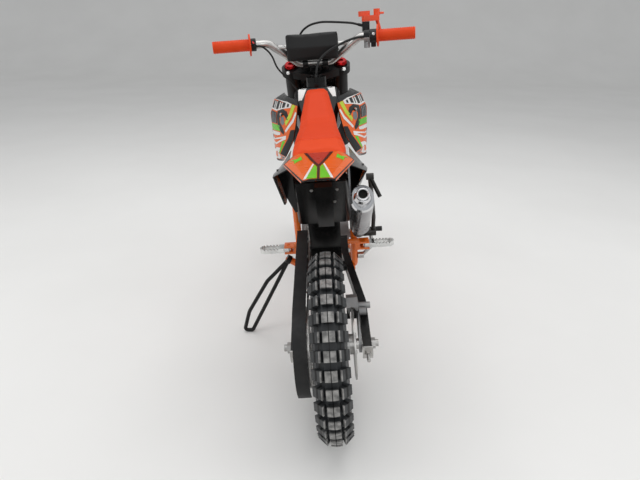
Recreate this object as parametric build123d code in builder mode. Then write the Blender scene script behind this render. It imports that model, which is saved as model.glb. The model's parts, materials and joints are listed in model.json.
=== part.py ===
from build123d import *
from math import acos, asin, atan2, cos, degrees, hypot, pi, radians, sin, sqrt, tan
import os

# Mini motocross bike, parked on its side stand.
# Each piece is drawn upright: X to the rider's right, Y forward, Z up, with the
# origin on the ground below the rear axle. park() then leans the bike to its left
# and puts the origin at the middle of the parked bike's footprint.

# Wheels and chassis
WHEELBASE = 915.0
REAR_TYRE_R = 205.0
FRONT_TYRE_R = 218.0
REAR_TYRE_W = 74.0
FRONT_TYRE_W = 64.0
REAR_RIM_R = 127.0
FRONT_RIM_R = 152.4
KNOB_H = 9.0
RAKE = 25.0
TRAIL = 62.0
LEAN = 5.0
RUNNING_GAP = 0.1
SOFT_GAP = 0.3
SHELL_T = 3.0

# Steering head, measured along the steering axis from the ground
HEAD_LOW = 680.0
HEAD_HIGH = 762.0
HEAD_TUBE_D = 46.0
STEM_D = 28.0
CLAMP_T = 22.0
CLAMP_GAP = 4.0
CLAMP_WALL = 8.0
CLAMP_REAR_R = 20.0
FORK_X = 74.0
FORK_OUTER_D = 41.0
FORK_INNER_D = 33.0
FORK_OUTER_LOW = 500.0
FORK_CAP_D = 40.0
FORK_CAP_T = 9.0

# Handlebar
BAR_D = 22.0
BAR_HALF_W = 281.0
BAR_END_Z = 803.0
BAR_STRAIGHT = 153.0
BAR_BEND_DROP = 1.0
BAR_BEND_BACK = 35.4
BAR_TIP_BACK = 62.4
BAR_CLAMP_RISE = 22.0
BAR_FRONT = 14.0
GRIP_L = 105.0
GRIP_D = 31.0
GRIP_FLANGE_D = 58.0
CROSSBAR_D = 12.0

# Frame tubes
TUBE_D = 28.0
SUB_TUBE_D = 20.0
UPRIGHT_X = 75.0
UPRIGHT_D = 18.0
PIVOT_Y = 335.0
PIVOT_Z = 300.0
PIVOT_D = 14.0

# Drive
CHAIN_X = -50.0
CHAIN_PITCH = 12.7
CHAIN_LINKS = 90
ROLLER_D = 7.8
INNER_W = 6.4
PLATE_T = 1.5
PLATE_H = 11.0
REAR_TEETH = 41
FRONT_TEETH = 14
TOOTH_H = 3.4
SPROCKET_T = 5.0
FRONT_SPROCKET_Z = 300.0

# Axles, discs
REAR_AXLE_D = 15.0
FRONT_AXLE_D = 12.0
DISC_X = 50.0
DISC_T = 3.5
DISC_GAP = 2.25
REAR_DISC_D = 150.0
FRONT_DISC_D = 170.0
FRONT_DISC_X = 46.0

# Side stand
STAND_PIVOT = Vector(-108, 350, 250)
STAND_FOOT = Vector(-250, 350, 22)
STAND_TUBE_D = 11.0

SIN_LEAN = sin(radians(LEAN))
COS_LEAN = cos(radians(LEAN))
STEER_DIR = Vector(0, -sin(radians(RAKE)), cos(radians(RAKE)))
FORK_FRONT = Vector(0, cos(radians(RAKE)), sin(radians(RAKE)))
STEER_FOOT = Vector(0, WHEELBASE + TRAIL, 0)
REAR_AXLE = Vector(0, 0, REAR_TYRE_R)
FRONT_AXLE = Vector(0, WHEELBASE, FRONT_TYRE_R)
FORK_OFFSET = (FRONT_AXLE - STEER_FOOT).dot(FORK_FRONT)
AXLE_S = (FRONT_AXLE - STEER_FOOT).dot(STEER_DIR)
REAR_CROWN_R = REAR_TYRE_W / 2
STAND_AXIS = Vector(STAND_PIVOT.Z - STAND_FOOT.Z, 0, STAND_FOOT.X - STAND_PIVOT.X).normalized()
STAND_DIR = (STAND_FOOT - STAND_PIVOT).normalized()

# The bars' ends and the tyres are the parked bike's widest and longest points.
BAR_END_R = GRIP_D / 2
LEFT_REACH = -BAR_HALF_W * COS_LEAN - (BAR_END_Z + BAR_END_R) * SIN_LEAN
RIGHT_REACH = BAR_HALF_W * COS_LEAN - (BAR_END_Z - BAR_END_R) * SIN_LEAN
MIDDLE_X = (LEFT_REACH + RIGHT_REACH) / 2
MIDDLE_Y = (WHEELBASE + FRONT_TYRE_R - REAR_TYRE_R) / 2
LIFT = REAR_CROWN_R * (1 - COS_LEAN)
PARKED = Location((-MIDDLE_X, -MIDDLE_Y, LIFT), (0, -LEAN, 0))

os.makedirs("parts", exist_ok=True)


def park(piece, label):
    """Lean a finished piece as the bike stands, name it and write it."""
    parked = PARKED * piece
    parked.label = label
    export_step(parked, f"parts/{label}.step")


def steer_point(s, x=0.0, front=0.0):
    """The point s along the steering axis, x to the right and front ahead of it."""
    return STEER_FOOT + STEER_DIR * s + FORK_FRONT * front + Vector(x, 0, 0)


def steer_plane(s):
    """The plane across the steering axis at s: local X right, local Y forward."""
    return Plane(origin=steer_point(s), x_dir=(1, 0, 0), z_dir=STEER_DIR)


def side_plane(x):
    """The side view at x: local X forward, local Y up."""
    return Plane.YZ.offset(x)


def cross_plane(y):
    """The cross section at y: local X right, local Y up."""
    return Plane.XZ.offset(-y)


def wheel_plane(axle):
    """The plane through an axle that holds a wheel's half section."""
    return Plane(origin=axle, x_dir=(1, 0, 0), z_dir=(0, -1, 0))


def tube(points, diameter, bend=None):
    """Add a round bar along straight runs, with one bend radius or one for each corner."""
    with BuildLine() as path:
        if bend:
            FilletPolyline(*points, radius=bend)
        else:
            Line(*points)
    with BuildSketch(Plane(path.line @ 0, z_dir=path.line % 0)) as section:
        Circle(diameter / 2)
    sweep(sections=section.sketch, path=path.line)
    return path.wire().length


def rod(start, end, diameter, mode=Mode.ADD):
    """Add or cut a straight round bar from start to end."""
    along = Vector(*end) - Vector(*start)
    with BuildSketch(Plane(origin=start, z_dir=along)) as section:
        Circle(diameter / 2)
    extrude(section.sketch, amount=along.length, mode=mode)


def square_bar(start, end, side):
    """Add a straight square bar from start to end."""
    along = Vector(*end) - Vector(*start)
    with BuildSketch(Plane(origin=start, z_dir=along)) as section:
        Rectangle(side, side)
    extrude(section.sketch, amount=along.length)


def plate(outline, x_low, x_high, mode=Mode.ADD):
    """Add or cut a side-view outline of (y, z) points between two x."""
    with BuildSketch(side_plane(x_low)) as section:
        with BuildLine():
            Polyline(*outline, close=True)
        make_face()
    extrude(section.sketch, amount=x_high - x_low, mode=mode)


def polar(centre, radius, angle):
    """A side-view point at an angle up from straight ahead of a centre."""
    turn = radians(angle)
    return (centre.Y + radius * cos(turn), centre.Z + radius * sin(turn))


# Tyres: a bare carcass, and rows of knobs that stand on its round crown
CROWN_SHARE = 1.054
KNOB_SINK = 2.0
REAR_KNOB_L = 20.0
FRONT_KNOB_L = 30.0
CARCASS_TURNS = (66.0, 24.0)
# Columns: first and last turn of each knob in a row, in degrees from the crown's top
KNOBS = ((-17.0, 17.0), (27.0, 62.0), (-62.0, -27.0))
REAR_ROWS = 36
FRONT_ROWS = 20


def knobby_tyre(axle, tyre_r, tyre_w, rim_r, rows, knob_l, knobs):
    """One tyre, out to its knobs' tips, as a ring round its rim."""
    half = tyre_w / 2
    crown_r = half * CROWN_SHARE
    carcass_r = crown_r - KNOB_H

    def crown(turn, radius):
        """A point round the crown, from its top."""
        return (radius * sin(radians(turn)), tyre_r - crown_r + radius * cos(radians(turn)))

    bead = (half * 0.62, rim_r)
    wall = (half * 0.9, rim_r + (tyre_r - rim_r) * 0.42)
    right = [bead, wall] + [crown(turn, carcass_r) for turn in CARCASS_TURNS]
    left = [(-x, r) for x, r in reversed(right)]
    with BuildSketch(wheel_plane(axle)) as carcass:
        with BuildLine():
            Polyline(*right, *left, close=True)
        make_face()
    revolve(carcass.sketch, Axis(axle, (1, 0, 0)))

    with BuildSketch(wheel_plane(axle)) as row:
        for first, last in knobs:
            middle = (-LEAN, LEAN) if first < 0 < last else ()
            reach = crown_r if middle else crown_r / cos(radians(last - first) / 2)
            with BuildLine():
                Polyline(
                    crown(first, carcass_r - KNOB_SINK), *(crown(turn, reach) for turn in (first, *middle, last)),
                    crown(last, carcass_r - KNOB_SINK), close=True,
                )
            make_face()
    knob_row = extrude(row.sketch, amount=knob_l / 2, both=True, mode=Mode.PRIVATE)
    add([knob_row.rotate(Axis(axle, (1, 0, 0)), 360 / rows * n) for n in range(rows)])


with BuildPart() as rear_tyre:
    knobby_tyre(REAR_AXLE, REAR_TYRE_R, REAR_TYRE_W, REAR_RIM_R, REAR_ROWS, REAR_KNOB_L, KNOBS)
park(rear_tyre.part, "rear_tyre")

with BuildPart() as front_tyre:
    knobby_tyre(FRONT_AXLE, FRONT_TYRE_R, FRONT_TYRE_W, FRONT_RIM_R, FRONT_ROWS, FRONT_KNOB_L, KNOBS[:1])
park(front_tyre.part, "front_tyre")

# Rims, spokes and hubs
RIM_DEPTH = 16.0
RIM_FLANGE_H = 6.0
REAR_RIM_W = 46.0
FRONT_RIM_W = 40.0
HUB_HALF_W = 40.0
HUB_D = 44.0
HUB_WAIST_D = 38.0
HUB_FLANGE_D = 64.0
HUB_FLANGE_T = 6.0
HUB_END_W = 8.0
SPOKE_W = 2.6
SPOKE_PAIRS = 14
SPOKE_CROSS = 38.0


def laced_wheel(axle, rim_r, rim_w, axle_d):
    """One rim, hub and its crossed spokes as a single body."""
    half = rim_w / 2
    bed = rim_r - SOFT_GAP
    bore = axle_d / 2 + RUNNING_GAP
    with BuildSketch(wheel_plane(axle)) as rim:
        with BuildLine():
            Polyline(
                (-half, bed), (half, bed), (half, bed - RIM_FLANGE_H), (half * 0.45, bed - RIM_DEPTH),
                (-half * 0.45, bed - RIM_DEPTH), (-half, bed - RIM_FLANGE_H), close=True,
            )
        make_face()
    revolve(rim.sketch, Axis(axle, (1, 0, 0)))
    flange_x = HUB_HALF_W - HUB_END_W
    waist_x = flange_x - HUB_FLANGE_T - 4
    right = (
        (HUB_HALF_W, bore), (HUB_HALF_W, HUB_D / 2), (flange_x, HUB_D / 2), (flange_x, HUB_FLANGE_D / 2),
        (flange_x - HUB_FLANGE_T, HUB_FLANGE_D / 2), (waist_x, HUB_WAIST_D / 2),
    )
    with BuildSketch(wheel_plane(axle)) as hub:
        with BuildLine():
            Polyline(*right, *((-x, r) for x, r in reversed(right)), close=True)
        make_face()
    revolve(hub.sketch, Axis(axle, (1, 0, 0)))
    hub_r = HUB_FLANGE_D / 2 - 3
    end_r = bed - RIM_DEPTH + 2
    for side in (-1, 1):
        for pair in range(SPOKE_PAIRS):
            start_turn = radians(360 / SPOKE_PAIRS * (pair + 0.25 * side))
            end_turn = start_turn + radians(SPOKE_CROSS if pair % 2 else -SPOKE_CROSS)
            hub_x = side * (flange_x - HUB_FLANGE_T / 2)
            start = (hub_x, hub_r * cos(start_turn), hub_r * sin(start_turn))
            end = (side * 4, end_r * cos(end_turn), end_r * sin(end_turn))
            square_bar(Vector(*start) + axle, Vector(*end) + axle, SPOKE_W)


with BuildPart() as rear_rim:
    laced_wheel(REAR_AXLE, REAR_RIM_R, REAR_RIM_W, REAR_AXLE_D)
park(rear_rim.part, "rear_rim")

with BuildPart() as front_rim:
    laced_wheel(FRONT_AXLE, FRONT_RIM_R, FRONT_RIM_W, FRONT_AXLE_D)
park(front_rim.part, "front_rim")

# Brake discs
DISC_RING_W = 24.0
DISC_ARM_W = 13.0
DISC_HOLE_D = 6.4
DISC_HOLES = 12


def brake_disc(axle, x, disc_d):
    """One drilled disc with its six-armed carrier, beside the hub."""
    face = Plane(origin=axle + Vector(x - DISC_T / 2, 0, 0), x_dir=(0, 1, 0), z_dir=(1, 0, 0))
    side = 1 if x > 0 else -1
    with BuildSketch(face) as ring:
        Circle(disc_d / 2)
        Circle(disc_d / 2 - DISC_RING_W, mode=Mode.SUBTRACT)
        with PolarLocations(0, 6):
            with Locations((disc_d / 4, 0)):
                Rectangle(disc_d / 2 - DISC_RING_W, DISC_ARM_W)
        Circle(HUB_D / 2 + 2)
        Circle(REAR_AXLE_D, mode=Mode.SUBTRACT)
        with PolarLocations(disc_d / 2 - DISC_RING_W / 2, DISC_HOLES):
            Circle(DISC_HOLE_D / 2, mode=Mode.SUBTRACT)
    extrude(ring.sketch, amount=DISC_T)
    gap = abs(x) - DISC_T / 2 - HUB_HALF_W
    boss = Plane(origin=axle + Vector(side * HUB_HALF_W, 0, 0), x_dir=(0, 1, 0), z_dir=(side, 0, 0))
    with BuildSketch(boss) as carrier:
        Circle(HUB_D / 2)
        Circle(REAR_AXLE_D, mode=Mode.SUBTRACT)
    extrude(carrier.sketch, amount=gap)


with BuildPart() as rear_disc:
    brake_disc(REAR_AXLE, DISC_X, REAR_DISC_D)
park(rear_disc.part, "rear_disc")

with BuildPart() as front_disc:
    brake_disc(FRONT_AXLE, -FRONT_DISC_X, FRONT_DISC_D)
park(front_disc.part, "front_disc")

# Chain drive. The chain's whole number of links sets how far ahead the front sprocket is.
REAR_PITCH_R = CHAIN_PITCH / (2 * sin(pi / REAR_TEETH))
FRONT_PITCH_R = CHAIN_PITCH / (2 * sin(pi / FRONT_TEETH))
SPARE_LINKS = CHAIN_LINKS - (REAR_TEETH + FRONT_TEETH) / 2
TEETH_RATIO = ((REAR_TEETH - FRONT_TEETH) / (2 * pi)) ** 2
CENTRE_GAP = CHAIN_PITCH / 4 * (SPARE_LINKS + sqrt(SPARE_LINKS**2 - 8 * TEETH_RATIO))
FRONT_SPROCKET_Y = sqrt(CENTRE_GAP**2 - (FRONT_SPROCKET_Z - REAR_TYRE_R) ** 2)
FRONT_SPROCKET = Vector(0, FRONT_SPROCKET_Y, FRONT_SPROCKET_Z)
CHAIN_TILT = degrees(asin((FRONT_SPROCKET_Z - REAR_TYRE_R) / CENTRE_GAP))
WRAP = acos((REAR_PITCH_R - FRONT_PITCH_R) / CENTRE_GAP)
CHAIN_RUN = CENTRE_GAP * sin(WRAP)
REAR_WRAP_L = REAR_PITCH_R * (pi - WRAP)
CHAIN_L = 2 * (REAR_WRAP_L + CHAIN_RUN + FRONT_PITCH_R * WRAP)
SPROCKET_HOLES = 6
SPROCKET_HOLE_D = 26.0


def chain_pin(index):
    """A pin's side-view place, counted over the top run from right behind the rear axle."""
    along = CHAIN_L * (index % CHAIN_LINKS) / CHAIN_LINKS
    lower = along > CHAIN_L / 2
    if lower:
        along = CHAIN_L - along
    if along < REAR_WRAP_L:
        turn = pi - along / REAR_PITCH_R
        ahead, up = REAR_PITCH_R * cos(turn), REAR_PITCH_R * sin(turn)
    elif along < REAR_WRAP_L + CHAIN_RUN:
        run = along - REAR_WRAP_L
        ahead = REAR_PITCH_R * cos(WRAP) + run * sin(WRAP)
        up = REAR_PITCH_R * sin(WRAP) - run * cos(WRAP)
    else:
        turn = WRAP - (along - REAR_WRAP_L - CHAIN_RUN) / FRONT_PITCH_R
        ahead, up = CENTRE_GAP + FRONT_PITCH_R * cos(turn), FRONT_PITCH_R * sin(turn)
    if lower:
        up = -up
    tilt = radians(CHAIN_TILT)
    return (ahead * cos(tilt) - up * sin(tilt), REAR_TYRE_R + ahead * sin(tilt) + up * cos(tilt))


def toothed(centre, teeth, pin_angle):
    """A sprocket's outline in the side view, its teeth between pins that pass pin_angle."""
    pitch_r = CHAIN_PITCH / (2 * sin(pi / teeth))
    step = 360 / teeth
    outline = []
    for tooth in range(teeth):
        middle = pin_angle + step * (tooth + 0.5)
        # Columns: place across the tooth as a share of the pitch, reach past the pitch circle
        for share, reach in ((-0.34, -ROLLER_D / 2), (-0.12, TOOTH_H), (0.12, TOOTH_H), (0.34, -ROLLER_D / 2)):
            outline.append(polar(centre, pitch_r + reach, middle + share * step))
    return outline


with BuildPart() as rear_sprocket:
    plate(
        toothed(REAR_AXLE, REAR_TEETH, CHAIN_TILT + 180), CHAIN_X - SPROCKET_T / 2, CHAIN_X + SPROCKET_T / 2
    )
    with BuildSketch(side_plane(CHAIN_X + SPROCKET_T / 2)) as carrier:
        with Locations((REAR_AXLE.Y, REAR_AXLE.Z)):
            Circle(HUB_D / 2)
    extrude(carrier.sketch, amount=-HUB_HALF_W - CHAIN_X - SPROCKET_T / 2)
    with BuildSketch(side_plane(CHAIN_X - SPROCKET_T / 2)) as holes:
        with Locations((REAR_AXLE.Y, REAR_AXLE.Z)):
            Circle(REAR_AXLE_D)
            with PolarLocations(REAR_PITCH_R * 0.6, SPROCKET_HOLES):
                Circle(SPROCKET_HOLE_D / 2)
    extrude(holes.sketch, amount=-HUB_HALF_W - CHAIN_X + SPROCKET_T, mode=Mode.SUBTRACT)
park(rear_sprocket.part, "rear_sprocket")

SHAFT_D = 16.0
with BuildPart() as front_sprocket:
    plate(
        toothed(FRONT_SPROCKET, FRONT_TEETH, CHAIN_TILT), CHAIN_X - SPROCKET_T / 2, CHAIN_X + SPROCKET_T / 2
    )
    rod(
        FRONT_SPROCKET + Vector(CHAIN_X - SPROCKET_T, 0, 0),
        FRONT_SPROCKET + Vector(CHAIN_X + SPROCKET_T, 0, 0), SHAFT_D, mode=Mode.SUBTRACT,
    )
park(front_sprocket.part, "front_sprocket")

INNER_X = INNER_W / 2
WRAP_TURN = degrees(WRAP)


def clear_of_teeth(pin):
    """Whether a pin's roller lies on a straight run, past both sprockets' teeth."""
    reach = TOOTH_H + ROLLER_D
    rear = hypot(pin[0], pin[1] - REAR_TYRE_R) > REAR_PITCH_R + reach
    front = hypot(pin[0] - FRONT_SPROCKET_Y, pin[1] - FRONT_SPROCKET_Z) > FRONT_PITCH_R + reach
    return rear and front


# Round the sprockets the teeth fill the place of the rollers.
with BuildPart() as chain:
    with BuildSketch(side_plane(CHAIN_X + INNER_X)) as plates:
        for reach, mode in ((PLATE_H / 2, Mode.ADD), (-PLATE_H / 2, Mode.SUBTRACT)):
            rear_r, front_r = REAR_PITCH_R + reach, FRONT_PITCH_R + reach
            top_rear = polar(REAR_AXLE, rear_r, CHAIN_TILT + WRAP_TURN)
            low_rear = polar(REAR_AXLE, rear_r, CHAIN_TILT - WRAP_TURN)
            top_front = polar(FRONT_SPROCKET, front_r, CHAIN_TILT + WRAP_TURN)
            low_front = polar(FRONT_SPROCKET, front_r, CHAIN_TILT - WRAP_TURN)
            with BuildLine():
                ThreePointArc(low_rear, polar(REAR_AXLE, rear_r, CHAIN_TILT + 180), top_rear)
                Line(top_rear, top_front)
                ThreePointArc(top_front, polar(FRONT_SPROCKET, front_r, CHAIN_TILT), low_front)
                Line(low_front, low_rear)
            make_face(mode=mode)
    extrude(plates.sketch, amount=2 * PLATE_T)
    extrude(plates.sketch.moved(Location((-INNER_W, 0, 0))), amount=-2 * PLATE_T)
    for pin in map(chain_pin, range(0, CHAIN_LINKS, 6)):
        if clear_of_teeth(pin):
            with BuildSketch(side_plane(CHAIN_X - INNER_X - PLATE_T)) as roller:
                with Locations(pin):
                    RegularPolygon(ROLLER_D / 2, 4, rotation=CHAIN_TILT)
            extrude(roller.sketch, amount=INNER_W + 2 * PLATE_T)
park(chain.part, "chain")

# Swingarm
ARM_W = 18.0
ARM_FRONT_X = 48.0
ARM_REAR_X = 77.0
ARM_H = 30.0
ARM_BEND_Y = 110.0
ARM_END_Y = -30.0
BRIDGE_Y = 240.0
BRIDGE_Z = 275.0
BRIDGE_D = 26.0
SHOCK_LOW_Y = 262.0
SHOCK_LOW_Z = 303.0
SHOCK_HIGH_Y = 306.0
SHOCK_HIGH_Z = 484.0
SHOCK_EYE_W = 24.0
SHOCK_LUG_T = 4.7
SHOCK_BOLT_D = 10.0
SHOCK_LUG_IN = SHOCK_EYE_W / 2 + SOFT_GAP
SHOCK_LUG_OUT = SHOCK_LUG_IN + SHOCK_LUG_T

with BuildPart() as swingarm:
    for side in (-1, 1):
        with BuildLine(mode=Mode.PRIVATE) as route:
            Polyline(
                (side * ARM_FRONT_X, PIVOT_Y + 12, PIVOT_Z),
                (side * ARM_FRONT_X, PIVOT_Y - 60, PIVOT_Z - 17),
                (side * ARM_REAR_X, ARM_BEND_Y, REAR_TYRE_R + 30),
                (side * ARM_REAR_X, ARM_END_Y, REAR_TYRE_R),
            )
        with BuildSketch(Plane(route.line @ 0, x_dir=(1, 0, 0), z_dir=route.line % 0)) as section:
            Rectangle(ARM_W, ARM_H)
        sweep(sections=section.sketch, path=route.line, transition=Transition.RIGHT)
    rod((-ARM_FRONT_X, PIVOT_Y, PIVOT_Z), (ARM_FRONT_X, PIVOT_Y, PIVOT_Z), ARM_H - 4)
    rod((-60, BRIDGE_Y, BRIDGE_Z), (60, BRIDGE_Y, BRIDGE_Z), BRIDGE_D)
    for side in (-1, 1):
        plate(
            ((BRIDGE_Y - 2, BRIDGE_Z + 2), (BRIDGE_Y + 10, BRIDGE_Z - 6), (SHOCK_LOW_Y + 11, SHOCK_LOW_Z + 4),
             (SHOCK_LOW_Y + 3, SHOCK_LOW_Z + 12), (SHOCK_LOW_Y - 8, SHOCK_LOW_Z + 9)),
            side * SHOCK_LUG_IN, side * SHOCK_LUG_OUT,
        )
    rod((-18, SHOCK_LOW_Y, SHOCK_LOW_Z), (18, SHOCK_LOW_Y, SHOCK_LOW_Z), SHOCK_BOLT_D)
    reach = ARM_REAR_X + ARM_W
    rod((-reach, PIVOT_Y, PIVOT_Z), (reach, PIVOT_Y, PIVOT_Z), PIVOT_D + 2 * SOFT_GAP, mode=Mode.SUBTRACT)
    rod((-reach, 0, REAR_TYRE_R), (reach, 0, REAR_TYRE_R), REAR_AXLE_D + 2 * SOFT_GAP, mode=Mode.SUBTRACT)
park(swingarm.part, "swingarm")

# Rear axle with its spacers, nuts and the chain adjusters behind the arms
SPACER_D = 23.0
NUT_T = 9.0
NUT_R = 12.0
AXLE_STUB = 7.0
HUB_CLEAR = 1.3
ADJUSTER_H = 34.0
ADJUSTER_T = 3.0
ADJUSTER_BOLT_L = 26.0
ADJUSTER_BOLT_D = 7.0
ARM_OUT_X = ARM_REAR_X + ARM_W / 2 + SOFT_GAP
ARM_IN_X = ARM_REAR_X - ARM_W / 2 - SOFT_GAP
AXLE_END_X = ARM_OUT_X + NUT_T + AXLE_STUB
ARM_SLOPE = asin(30 / hypot(30, ARM_BEND_Y - ARM_END_Y))
with BuildPart() as rear_axle:
    rod((-AXLE_END_X, 0, REAR_TYRE_R), (AXLE_END_X, 0, REAR_TYRE_R), REAR_AXLE_D)
    sprocket_face = CHAIN_X - SPROCKET_T / 2
    for side, hub_face in ((-1, -sprocket_face + HUB_CLEAR), (1, DISC_X + DISC_T / 2 + HUB_CLEAR)):
        rod((side * hub_face, 0, REAR_TYRE_R), (side * ARM_IN_X, 0, REAR_TYRE_R), SPACER_D)
        with BuildSketch(side_plane(side * ARM_OUT_X)) as nut:
            with Locations((0, REAR_TYRE_R)):
                RegularPolygon(NUT_R, 6)
        extrude(nut.sketch, amount=side * NUT_T)
        back = Vector(0, -cos(ARM_SLOPE), -sin(ARM_SLOPE))
        heel = Vector(side * ARM_REAR_X, ARM_END_Y, REAR_TYRE_R) + back * SOFT_GAP
        with BuildSketch(Plane(origin=heel, x_dir=(1, 0, 0), z_dir=back)) as end_plate:
            Rectangle(ARM_W + 4, ADJUSTER_H)
        extrude(end_plate.sketch, amount=ADJUSTER_T)
        rod(heel, heel + back * ADJUSTER_BOLT_L, ADJUSTER_BOLT_D)
        with BuildSketch(Plane(origin=heel + back * (ADJUSTER_T - 0.5), x_dir=(1, 0, 0), z_dir=back)) as lock_nut:
            RegularPolygon(ADJUSTER_BOLT_D, 6)
        extrude(lock_nut.sketch, amount=6)
park(rear_axle.part, "rear_axle")

# Seat, tank and plastics. What goes with the steering head is measured back from it.
HEAD_Y = steer_point(HEAD_LOW).Y


def behind_head(distance):
    """A place along the bike, measured back from the foot of the steering head."""
    return HEAD_Y - distance


# Columns: y, half width, flat half width, crown z, drop of the edge
FENDER_STATIONS = (
    (-52.0, 31.0, 20.0, 597.0, 3.0),
    (102.0, 73.0, 54.0, 591.0, 5.0),
    (166.0, 57.0, 44.0, 591.0, 5.0),
)
SUB_END_X = 38.0
SUB_END_Y = 60.0
FENDER_SHARE = (SUB_END_Y - FENDER_STATIONS[0][0]) / (FENDER_STATIONS[1][0] - FENDER_STATIONS[0][0])
FENDER_CROWN = FENDER_STATIONS[0][3] + (FENDER_STATIONS[1][3] - FENDER_STATIONS[0][3]) * FENDER_SHARE
SUB_END_Z = FENDER_CROWN - SHELL_T - SUB_TUBE_D / 2 - 2 * SOFT_GAP

# Frame
CROSS_Y = 330.0
CROSS_Z = 508.0
CRADLE_Z = 216.0
CRADLE_FRONT_X = 56.0
CRADLE_FRONT_Y = 575.0
BACKBONE_D = 38.0
PEG_Y = PIVOT_Y + 15
PEG_Z = 284.0
PEG_TONGUE_T = 12.0
PEG_PIN_D = 8.0
PEG_PIN_X = 106.0
BRACKET_X = 116.0
BRACKET_T = 5.0
BRACKET_W = 30.0
ENGINE_BOLT_Y = 460.0
ENGINE_BOLT_Z = 213.0
TANK_REST_Y = behind_head(189.6)
STAND_LUG_D = 19.0
STAND_BOLT_D = 8.0
STAND_EYE_D = 24.0

with BuildPart() as frame:
    rod(steer_point(HEAD_LOW), steer_point(HEAD_HIGH), HEAD_TUBE_D)
    tube(
        (steer_point(HEAD_LOW + 24), (0, behind_head(129.6), 558), (0, CROSS_Y, CROSS_Z)),
        BACKBONE_D, bend=120,
    )
    rod((-UPRIGHT_X, CROSS_Y, CROSS_Z), (UPRIGHT_X, CROSS_Y, CROSS_Z), TUBE_D)
    rod((-UPRIGHT_X, PEG_Y, CRADLE_Z), (UPRIGHT_X, PEG_Y, CRADLE_Z), UPRIGHT_D)
    for side in (-1, 1):
        tube(
            (
                (side * UPRIGHT_X, CROSS_Y, CROSS_Z),
                (side * UPRIGHT_X, PEG_Y, PIVOT_Z + 20),
                (side * UPRIGHT_X, PEG_Y, CRADLE_Z),
                (side * CRADLE_FRONT_X, CRADLE_FRONT_Y, CRADLE_Z - 6),
                steer_point(HEAD_LOW + 20, side * 6, -22),
            ),
            UPRIGHT_D, bend=30,
        )
    rod((-UPRIGHT_X - 14, PIVOT_Y, PIVOT_Z), (UPRIGHT_X + 14, PIVOT_Y, PIVOT_Z), PIVOT_D)
    for side in (-1, 1):
        plate(
            ((CROSS_Y - 6, CROSS_Z), (CROSS_Y + 8, CROSS_Z - 8), (SHOCK_HIGH_Y + 10, SHOCK_HIGH_Z - 6),
             (SHOCK_HIGH_Y - 2, SHOCK_HIGH_Z - 11), (SHOCK_HIGH_Y - 11, SHOCK_HIGH_Z + 2)),
            side * SHOCK_LUG_IN, side * SHOCK_LUG_OUT,
        )
    rod((-18, SHOCK_HIGH_Y, SHOCK_HIGH_Z), (18, SHOCK_HIGH_Y, SHOCK_HIGH_Z), SHOCK_BOLT_D)
    plate(
        ((TANK_REST_Y - 10, 540), (TANK_REST_Y + 10, 540), (TANK_REST_Y + 10, 576.2), (TANK_REST_Y - 10, 571.2)),
        -14, 14,
    )
    rod((-62, ENGINE_BOLT_Y, ENGINE_BOLT_Z), (62, ENGINE_BOLT_Y, ENGINE_BOLT_Z), 20)
    plate(
        ((ENGINE_BOLT_Y - 12, ENGINE_BOLT_Z), (ENGINE_BOLT_Y + 12, ENGINE_BOLT_Z),
         (ENGINE_BOLT_Y + 12, 237.3), (ENGINE_BOLT_Y - 12, 238.1)),
        -20, 20,
    )
    # Footpeg brackets: forks that open outward, each with its peg's pin
    for side in (-1, 1):
        slot = PEG_TONGUE_T / 2 + SOFT_GAP
        rim = slot + BRACKET_T
        with BuildSketch(cross_plane(PEG_Y - BRACKET_W / 2)) as fork:
            with BuildLine():
                Polyline(
                    (side * UPRIGHT_X, PEG_Z + rim), (side * BRACKET_X, PEG_Z + rim),
                    (side * BRACKET_X, PEG_Z + slot), (side * (UPRIGHT_X + 15), PEG_Z + slot),
                    (side * (UPRIGHT_X + 15), PEG_Z - slot), (side * BRACKET_X, PEG_Z - slot),
                    (side * BRACKET_X, PEG_Z - rim), (side * UPRIGHT_X, PEG_Z - rim), close=True,
                )
            make_face()
        extrude(fork.sketch, amount=-BRACKET_W)
        pin = Vector(side * PEG_PIN_X, PEG_Y, PEG_Z)
        rod(pin - Vector(0, 0, rim + 2), pin + Vector(0, 0, rim + 2), PEG_PIN_D)
    rod(STAND_PIVOT - STAND_AXIS * 9, STAND_PIVOT + STAND_AXIS * 36, STAND_BOLT_D)
    rod(STAND_PIVOT + STAND_AXIS * 6.5, STAND_PIVOT + STAND_AXIS * 36, STAND_LUG_D)
    rod(
        steer_point(HEAD_LOW - 1), steer_point(HEAD_HIGH + 1), STEM_D + 2 * RUNNING_GAP,
        mode=Mode.SUBTRACT,
    )
park(frame.part, "frame")

SUB_START_X = 58.0
with BuildPart() as subframe:
    for side in (-1, 1):
        rod(
            (side * SUB_START_X, CROSS_Y - 16, CROSS_Z + 12), (side * SUB_END_X, SUB_END_Y, SUB_END_Z), SUB_TUBE_D
        )
        rod((side * 60, CROSS_Y - 2, 372), (side * 48, 120, 548), SUB_TUBE_D)
    rod((-SUB_END_X - 4, 76, SUB_END_Z - 4), (SUB_END_X + 4, 76, SUB_END_Z - 4), SUB_TUBE_D - 4)
park(subframe.part, "subframe")

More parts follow.
